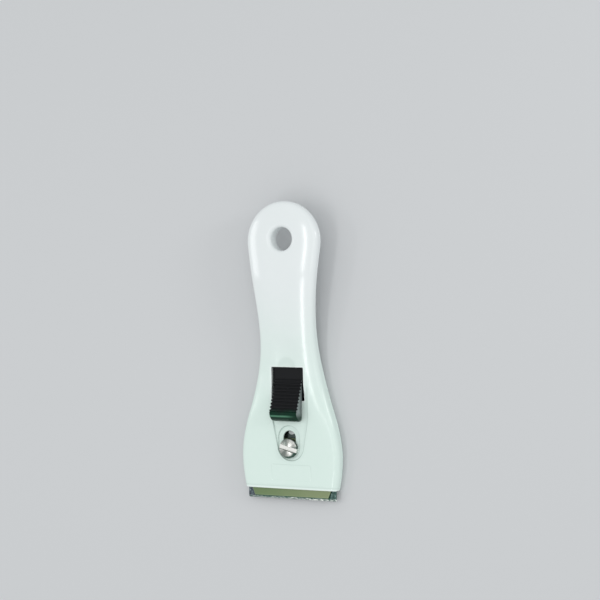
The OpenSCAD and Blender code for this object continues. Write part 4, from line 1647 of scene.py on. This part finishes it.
@dataclass
class SlideButton:
    """The black button: a rounded nose, a ribbed ramp, and a tongue that slides under the front wall."""

    width: float = 12.5
    nose_u: float = 27.5
    nose_len: float = 3.9
    top: float = 11.1
    under: float = 6.2
    ramp_end: float = 44.7
    # The tongue: width, end and thickness.
    tongue: tuple = (13.8, 50.6, 0.9)
    tongue_top: float = 6.08
    corner: float = 1.3
    stem_u: float = 36.2
    # The foot: start, lower and upper height.
    foot: tuple = (32.2, 2.4, 4.3)
    edge: float = 0.4
    ramp_foot: float = 0.25
    nose_lip: float = 0.3
    rib_pitch: float = 1.254
    rib_depth: float = 0.38
    end_depth: float = 0.4
    step_w: float = 0.05
    soft_r: float = 0.2
    peg_places: tuple = (34.4, 38.8)

    def __post_init__(self) -> None:
        """Works out where the ramp starts, the half width and the plan."""
        self.start = self.nose_u + self.nose_len
        self.half = self.width / 2
        self.plan = box_between(self.half, self.nose_u, self.ramp_end + self.corner, self.corner)

    def ramp(self, u: Array) -> Array:
        """Returns the height of the ribs' tops along the ramp."""
        fall = self.tongue_top + self.ramp_foot - self.top
        return self.top + fall * (u - self.start) / (self.ramp_end - self.start)

    def top_at(self, x: Array, u: Array) -> Array:
        """Returns the height of the button's upper side, without its ribs.

        Args:
            x: Places across.
            u: Places along.

        Returns:
            The heights.
        """
        base = self.under + self.nose_lip
        ahead = share(self.start - u, self.nose_len)
        nose = base + (self.top - base) * np.sqrt(np.maximum(1 - ahead**2, 0))
        side = self.half - np.abs(x)
        deep = self.rib_depth + self.end_depth * share(0.8 - side, 0.5)
        sunk = self.ramp(u) - deep * share(u - self.start, 0.4) * np.clip((self.ramp_end - u) / 2.0, 0.4, 1)
        z = np.where(u < self.start, nose, sunk)
        z = z - eased(np.maximum(side, 0), self.edge)
        return np.maximum(z, self.under_at(x, u) + 0.02)

    def under_at(self, x: Array, u: Array) -> Array:
        """Returns the height of the button's underside.

        Args:
            x: Places across.
            u: Places along.

        Returns:
            The heights.
        """
        stem = share(u - self.stem_u, self.step_w)
        rounded = self.plan.brink(x, u, 0.25)
        return (self.under + rounded) * (1 - stem) + self.foot[1] * stem

    def ribs(self, finishes: Finishes) -> bpy.types.Object:
        """Makes the row of ribs on the ramp.

        Args:
            finishes: The materials.

        Returns:
            The ribs, as one plain mesh.
        """
        run = self.ramp_end - self.start
        count = int(run / self.rib_pitch)
        fall = float(self.ramp(np.array(self.ramp_end)) - self.ramp(np.array(self.start)))
        rib = self._rib(self.start + 0.5 * run / count, fall / run)
        recipe = NodeRecipe("ribs_on_ramp")
        number = recipe.input("Count", "NodeSocketInt", count)
        pitch = recipe.input("Pitch", "NodeSocketVector", (0.0, run / count * MM, fall / count * MM))
        row = recipe.node("GeometryNodeMeshLine", {"mode": "OFFSET"}, {"Count": number, "Offset": pitch})
        inputs = {"Points": row.outputs[0], "Instance": recipe.given.outputs["Geometry"]}
        placed = recipe.node("GeometryNodeInstanceOnPoints", None, inputs)
        return recipe.run(rib, placed.outputs[0], finishes.black, "button_ribs", 50.0)

    def _rib(self, u: float, slope: float) -> bpy.types.Object:
        """Makes one rounded rib across the ramp.

        Args:
            u: The middle of the rib, from the mouth.
            slope: The ramp's slope.

        Returns:
            The rib.
        """
        half, low = self.rib_pitch * 0.34, -self.rib_depth - self.end_depth - 0.4
        shape = [(-half, low), (-half * 0.9, -0.2), (-half * 0.7, -0.07), (-half * 0.36, 0.0),
                 (half * 0.36, 0.0), (half * 0.7, -0.07), (half * 0.9, -0.2), (half, low)]
        right = [(0.26, 0.0), (0.15, 0.03), (0.07, 0.09), (0.03, 0.18), (0.02, 0.3)]
        ends = [(inset - self.half, drop) for inset, drop in right[::-1]]
        ends += [(self.half - inset, drop) for inset, drop in right]
        z0 = float(self.ramp(np.array(u)))
        verts = [(x, u + a, z0 + a * slope + max(b - drop, low)) for x, drop in ends for a, b in shape]
        n = len(shape)
        faces: list[tuple[int, ...]] = [tuple(range(n))]
        for first in range(0, (len(ends) - 1) * n, n):
            after = first + n
            faces += [(first + i, after + i, after + (i + 1) % n, first + (i + 1) % n) for i in range(n)]
        faces.append(tuple(reversed(range((len(ends) - 1) * n, len(ends) * n))))
        places = np.array(verts)
        places[:, 1] += MOUTH_Y
        made = solid_object("rib", places * MM, faces, 50.0)
        outward(made)
        return made

    def build(self, finishes: Finishes) -> None:
        """Makes the button.

        Args:
            finishes: The materials.
        """
        parts = [self._body(), self._tongue(), self._foot(), *self._pegs(), self.ribs(finishes)]
        button = joined("slide_button_moulding", parts, 40.0)
        dress(button, finishes.black, Body.SLIDER, Slot.BUTTON, "slide_button")

    def _body(self) -> bpy.types.Object:
        """Makes the nose and the ramp.

        Returns:
            The body.
        """
        turns = np.radians(np.arange(0, 90, 6))
        across = [float(self.start - self.nose_len * math.sin(a)) for a in turns]
        across += [self.start + 0.2, self.start + 0.4, self.stem_u, self.stem_u + self.step_w, self.ramp_end]
        lines = [line_at(u, 7.0, 0.8) for u in across]
        for gap in (0.02, 0.07, 0.15, 0.27, 0.4, 0.6, 0.8):
            for x in (gap - self.half, self.half - gap):
                lines.append(spaced(np.array([[x, self.nose_u - 1], [x, self.ramp_end + 3.3]]), 0.8))
        lines += closing([self.plan.curve(i, 0.5) for i in (0.03, 0.1, 0.25, 0.35)])
        hull = self.plan.curve(0.0, 0.4)
        ends = np.array([[self.half, self.ramp_end], [-self.half, self.ramp_end]])
        ring = np.concatenate([hull[hull[:, 1] < self.ramp_end], ends])
        middle_u = 38.0
        ring = ring[np.argsort(np.arctan2(ring[:, 1] - middle_u, ring[:, 0]))]
        return PlanSolid(ring, [], lines, 0.9).build("button_body", self.top_at, self.under_at)

    def _tongue(self) -> bpy.types.Object:
        """Makes the flat tongue that slides under the front wall.

        Returns:
            The tongue.
        """
        wide, end, thick = self.tongue
        flat = box_between(wide / 2, self.ramp_end - 0.9, end, 0.3)
        rims = closing([flat.curve(i, 0.8) for i in (0.04, 0.12, 0.25)])
        return PlanSolid(flat.curve(0.0, 0.8), [], rims, 1.5).build(
            "button_tongue",
            lambda x, u: self.tongue_top - flat.brink(x, u, self.soft_r),
            lambda x, u: self.tongue_top - thick + flat.brink(x, u, self.soft_r),
        )

    def _foot(self) -> bpy.types.Object:
        """Makes the foot that stands on the carriage.

        Returns:
            The foot.
        """
        foot_u, low, high = self.foot
        plan = box_between(self.half, foot_u, self.stem_u + 0.3, 0.3)
        return PlanSolid(plan.curve(0.0, 0.8), [], closing([plan.curve(self.soft_r, 0.8)]), 1.5).build(
            "button_foot", lambda x, u: high - plan.brink(x, u, self.soft_r), level(low)
        )

    def _pegs(self) -> list[bpy.types.Object]:
        """Makes the two pegs that hold the button in the carriage."""
        profile = [(0.0, 1.4), (1.0, 1.4), (1.2, 1.6), (1.2, 2.6), (0.0, 2.6)]
        return [turned(f"peg_{k}", (0.0, u), profile, 32) for k, u in enumerate(self.peg_places)]


def outward(piece: bpy.types.Object) -> None:
    """Turns a closed mesh's faces outwards.

    Args:
        piece: The piece.
    """
    work = bmesh.new()
    work.from_mesh(piece.data)
    bmesh.ops.recalc_face_normals(work, faces=work.faces)
    work.to_mesh(piece.data)
    work.free()


@dataclass
class BladeSet:
    """The blade with its ground edge, and the carriage, bush, pins, spring and rivet that hold it."""

    width: float = 40.0
    out: float = 4.2
    back_u: float = 14.4
    low: float = 2.4
    thick: float = 0.3
    edge_t: float = 0.05
    ground: float = 0.9
    corner: float = 0.45
    pin_x: float = 11.0
    pin_u: float = 8.0
    pin_hole_r: float = 1.6

    def top_at(self, x: Array, u: Array) -> Array:
        """Returns the height of the blade's upper side, lower over its ground edge."""
        from_edge = np.clip((u + self.out) / self.ground, 0, 1)
        return self.low + self.edge_t + (self.thick - self.edge_t) * from_edge

    def build(self, finishes: Finishes) -> None:
        """Makes the blade and dresses the parts that hold it.

        Args:
            finishes: The materials.
        """
        plan = box_between(self.width / 2, -self.out, self.back_u, self.corner)
        holes = [disc(self.pin_u, self.pin_hole_r, x).curve(0.0, 0.3) for x in (-self.pin_x, self.pin_x)]
        lines = [line_at(-self.out + at, 21.0, 0.5) for at in (0.3, 0.6, self.ground, self.ground + 0.15)]
        blade = PlanSolid(plan.curve(0.0, 0.3), holes, lines, 1.6).build(
            "scraper_blade_strip", self.top_at, level(self.low), 4.0
        )
        dress(blade, finishes.blade, Body.SLIDER, Slot.BLADE, "scraper_blade")
        plated = {node: finishes.zinc for node in ("blade_carriage", "threaded_bush", "blade_pins")}
        plated |= {"spring_rivet": finishes.rivet, "detent_spring": finishes.spring}
        for node, finish in plated.items():
            coat(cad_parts[node].data, finish)
            LOG.info("%s: dressed as it is", node)


@dataclass
class Clamp:
    """The clamp plate and the slotted screw that presses it on the blade."""

    front_w: float = 33.5
    wide: float = 36.6
    out: float = 3.1
    flare_end: float = 0.75
    narrow_u: float = 13.0
    back_hw: float = 9.0
    end_u: float = 20.5
    low: float = 2.7
    high: float = 3.6
    hole_r: float = 2.15
    screw_u: float = 16.6
    core_r: float = 1.72
    shoulder_r: float = 2.6
    thread_turns: float = 3.0
    thread_pitch: float = 0.7
    thread_r: float = 0.21
    thread_low: float = 0.98
    head_r: float = 4.0
    head_low: float = 5.3
    head_h: float = 2.2
    dome: float = 0.85
    driver_w: float = 1.8
    driver_depth: float = 1.1
    driver_angle: float = -14.0

    def plate(self) -> bpy.types.Object:
        """Makes the clamp plate, with soft pressed edges.

        Returns:
            The plate.
        """
        half_w = self.wide / 2
        half = [(self.front_w / 2, -self.out), (half_w, self.flare_end), (half_w, self.narrow_u)]
        half += [(self.back_hw, self.end_u)]
        corners = np.array(half + [(-x, u) for x, u in reversed(half)])
        ring = spaced(corners, 0.5, closed=True)
        loop = closing([ring])[0]
        centre, reach = np.array([0.0, 9.0]), 14.0
        inner = [centre + (loop - centre) * (1 - d / reach) for d in (0.03, 0.09, 0.2, 0.35)]
        hole = disc(self.screw_u, self.hole_r).curve(0.0, 0.3)

        def edge(x: Array, u: Array) -> Array:
            """Returns the drop of the rounded edge."""
            return eased(distance_to(loop, x, u), 0.22)

        return PlanSolid(ring, [hole], inner, 1.6).build(
            "clamp_plate_pressing",
            lambda x, u: self.high - edge(x, u),
            lambda x, u: self.low + 0.35 * edge(x, u),
            40.0,
        )

    def head_top(self, x: Array, u: Array) -> Array:
        """Returns the height of the screw's head, with its slot.

        Args:
            x: Places across.
            u: Places along.

        Returns:
            The heights.
        """
        top = self.head_low + self.head_h
        ball = ball_radius(self.head_r, self.dome)
        v = u - self.screw_u
        r = np.hypot(x, v)
        z = top - ball + np.sqrt(np.maximum(ball**2 - r**2, 0))
        z -= eased(np.maximum(self.head_r - r, 0), 0.35)
        a = math.radians(self.driver_angle)
        gap = np.abs(-math.sin(a) * x + math.cos(a) * v)
        floor = top - self.driver_depth
        sink = share(self.driver_w / 2 - gap, 0.06)
        z -= eased(np.maximum(gap - self.driver_w / 2, 0), 0.12)
        return z - np.maximum(z - floor, 0) * sink

    def head(self) -> bpy.types.Object:
        """Makes the screw's head.

        Returns:
            The head.
        """
        plan = disc(self.screw_u, self.head_r)
        lines = closing([plan.curve(i, 0.3) for i in (0.02, 0.07, 0.15, 0.25, 0.35, 0.5)])
        a = math.radians(self.driver_angle)
        along, side = np.array([math.cos(a), math.sin(a)]), np.array([-math.sin(a), math.cos(a)])
        for gap in (-0.26, -0.12, -0.06, -0.02, 0.0, 0.06):
            for sign in (-1, 1):
                middle = np.array([0.0, self.screw_u]) + side * sign * (self.driver_w / 2 - gap)
                lines.append(spaced(np.array([middle - along * 4.5, middle + along * 4.5]), 0.3))
        return PlanSolid(plan.curve(0.0, 0.25), [], lines, 0.4).build(
            "screw_head",
            self.head_top,
            lambda x, u: self.head_low + 0.4 * plan.brink(x, u, 0.3),
            42.0,
        )

    def thread(self, finishes: Finishes) -> bpy.types.Object:
        """Makes the screw's thread as one helix round the core.

        Args:
            finishes: The materials.

        Returns:
            The thread, as a plain mesh.
        """
        recipe = NodeRecipe("thread_round_core")
        turns = recipe.input("Turns", "NodeSocketFloat", self.thread_turns)
        radius = recipe.input("Radius", "NodeSocketFloat", self.core_r * MM)
        rise = recipe.input("Rise", "NodeSocketFloat", self.thread_turns * self.thread_pitch * MM)
        thick = recipe.input("Thickness", "NodeSocketFloat", self.thread_r * MM)
        radii = {"Start Radius": radius, "End Radius": radius}
        inputs = {"Resolution": 40, "Rotations": turns, "Height": rise, **radii}
        spiral = recipe.node("GeometryNodeCurveSpiral", None, inputs)
        inputs = {"Resolution": 6, "Radius": thick}
        section = recipe.node("GeometryNodeCurvePrimitiveCircle", None, inputs)
        inputs = {"Curve": spiral.outputs[0], "Profile Curve": section.outputs[0], "Fill Caps": True}
        tube = recipe.node("GeometryNodeCurveToMesh", None, inputs)
        place = (0.0, (MOUTH_Y + self.screw_u) * MM, self.thread_low * MM)
        inputs = {"Geometry": tube.outputs[0], "Translation": place}
        moved = recipe.node("GeometryNodeTransform", None, inputs)
        corners = np.array([(0, 0, 0), (MM, 0, 0), (0, MM, 0)])
        seed = solid_object("thread_seed", corners, np.array([(0, 1, 2)]))
        return recipe.run(seed, moved.outputs[0], finishes.nickel, "screw_thread", 50.0)

    def build(self, finishes: Finishes) -> None:
        """Makes the plate and the screw.

        Args:
            finishes: The materials.
        """
        dress(self.plate(), finishes.passivate, Body.CLAMP, Slot.PLATE, "clamp_plate")
        r, wide_r = self.core_r, self.shoulder_r
        profile = [(0.0, 0.75), (1.4, 0.75), (r, 1.05), (r, 3.6), (wide_r, 3.6), (wide_r, 5.4), (0.0, 5.4)]
        shank = turned("screw_shank", (0.0, self.screw_u), profile)
        screw = joined("clamp_screw_turning", [self.head(), shank, self.thread(finishes)], 42.0)
        dress(screw, finishes.nickel, Body.SCREW, Slot.SCREW, "clamp_screw")


# Studio


@dataclass(frozen=True)
class Lamp:
    """A soft rectangular lamp that faces the scraper, its length along the handle."""

    name: str
    place: tuple
    size: tuple
    radiance: float

    def light(self) -> None:
        """Adds the lamp to the scene."""
        data = bpy.data.lights.new(self.name, "AREA")
        data.shape = "RECTANGLE"
        data.size, data.size_y = (side * MM for side in self.size)
        data.energy = self.radiance * math.pi * data.size * data.size_y
        lamp = add_object(self.name, data)
        lamp.matrix_world = facing(Vector(self.place) * MM, Vector())


def facing(place: Vector, target: Vector) -> Matrix:
    """Returns the matrix of a camera or a lamp that looks at a target, its Y near the handle's length.

    Args:
        place: Where it stands.
        target: What it looks at.

    Returns:
        The matrix.
    """
    back = (place - target).normalized()
    right = Vector((0.0, 1.0, 0.0)).cross(back).normalized()
    turn = Matrix((right, back.cross(right), back)).transposed()
    return Matrix.Translation(place) @ turn.to_4x4()


@dataclass(frozen=True)
class Studio:
    """The floor, the lamps, the world and the camera."""

    turn: float = 28.0
    far: float = 809.0
    lens: float = 120.0
    sensor_w: float = 36.0
    clip_start: float = 20.0
    floor_half: float = 6000.0
    floor_drop: float = 0.02
    centre: tuple = (0.0, 32.8, 2.4)
    aim: tuple = (2.62, 20.42, 1.0)
    world: float = 0.75
    sky: tuple = (0.97, 0.99, 1.0)
    backdrop: tuple = (0.66, 0.67, 0.68)
    lamps: tuple = (
        Lamp("main_strip", (-150.0, -212.0, 580.0), (20.0, 276.0), 14.0),
        Lamp("head_strip", (-150.0, 44.0, 580.0), (20.0, 172.0), 14.0),
        Lamp("right_box", (570.0, 200.0, 215.0), (150.0, 130.0), 9.0),
        Lamp("left_box", (-420.0, 45.0, 430.0), (60.0, 210.0), 4.0),
        Lamp("soft_key", (420.0, 200.0, 900.0), (500.0, 700.0), 0.8),
    )

    def camera(self) -> None:
        """Adds the camera at the photograph's viewing angle."""
        data = bpy.data.cameras.new("camera")
        data.lens = self.lens
        data.sensor_width = self.sensor_w
        data.clip_start = self.clip_start * MM
        camera = add_object("camera", data)
        turn = math.radians(self.turn)
        place = Vector(self.centre) + Vector((math.sin(turn), 0.0, math.cos(turn))) * self.far
        camera.matrix_world = facing(place * MM, Vector(self.aim) * MM)
        bpy.context.scene.camera = camera

    def floor(self) -> None:
        """Adds the pale floor."""
        mesh = bpy.data.meshes.new("floor")
        half = self.floor_half * MM
        corners = [(-half, -half, 0), (half, -half, 0), (half, half, 0), (-half, half, 0)]
        mesh.from_pydata(corners, [], [(0, 1, 2, 3)])
        coat(mesh, PaleFloor().build())
        made = add_object("floor", mesh)
        made.location.z = -self.floor_drop * MM

    def surroundings(self) -> None:
        """Sets the even light all round, and the plain colour that the camera sees."""
        world = bpy.data.worlds.new("studio")
        bpy.context.scene.world = world
        world.use_nodes = True
        tree = world.node_tree
        tree.nodes.clear()
        path = add_node(tree, "ShaderNodeLightPath")
        lit = {"Color": (*self.sky, 1.0), "Strength": self.world}
        even = add_node(tree, "ShaderNodeBackground", None, lit)
        seen = add_node(tree, "ShaderNodeBackground", None, {"Color": (*self.backdrop, 1.0)})
        parts = {0: path.outputs["Is Camera Ray"], 1: even.outputs[0], 2: seen.outputs[0]}
        both = add_node(tree, "ShaderNodeMixShader", None, parts)
        add_node(tree, "ShaderNodeOutputWorld", None, {0: both.outputs[0]})

    def build(self) -> None:
        """Sets the whole studio."""
        bpy.context.scene.view_settings.view_transform = "Standard"
        self.camera()
        self.floor()
        self.surroundings()
        for lamp in self.lamps:
            lamp.light()


def main() -> None:
    """Builds the pieces in order, then the studio."""
    logging.basicConfig(level=logging.INFO, format="%(name)s: %(message)s")
    finishes = Finishes.make()
    Housing().build(finishes)
    SlideButton().build(finishes)
    BladeSet().build(finishes)
    Clamp().build(finishes)
    Studio().build()


if __name__ == "__main__":
    main()
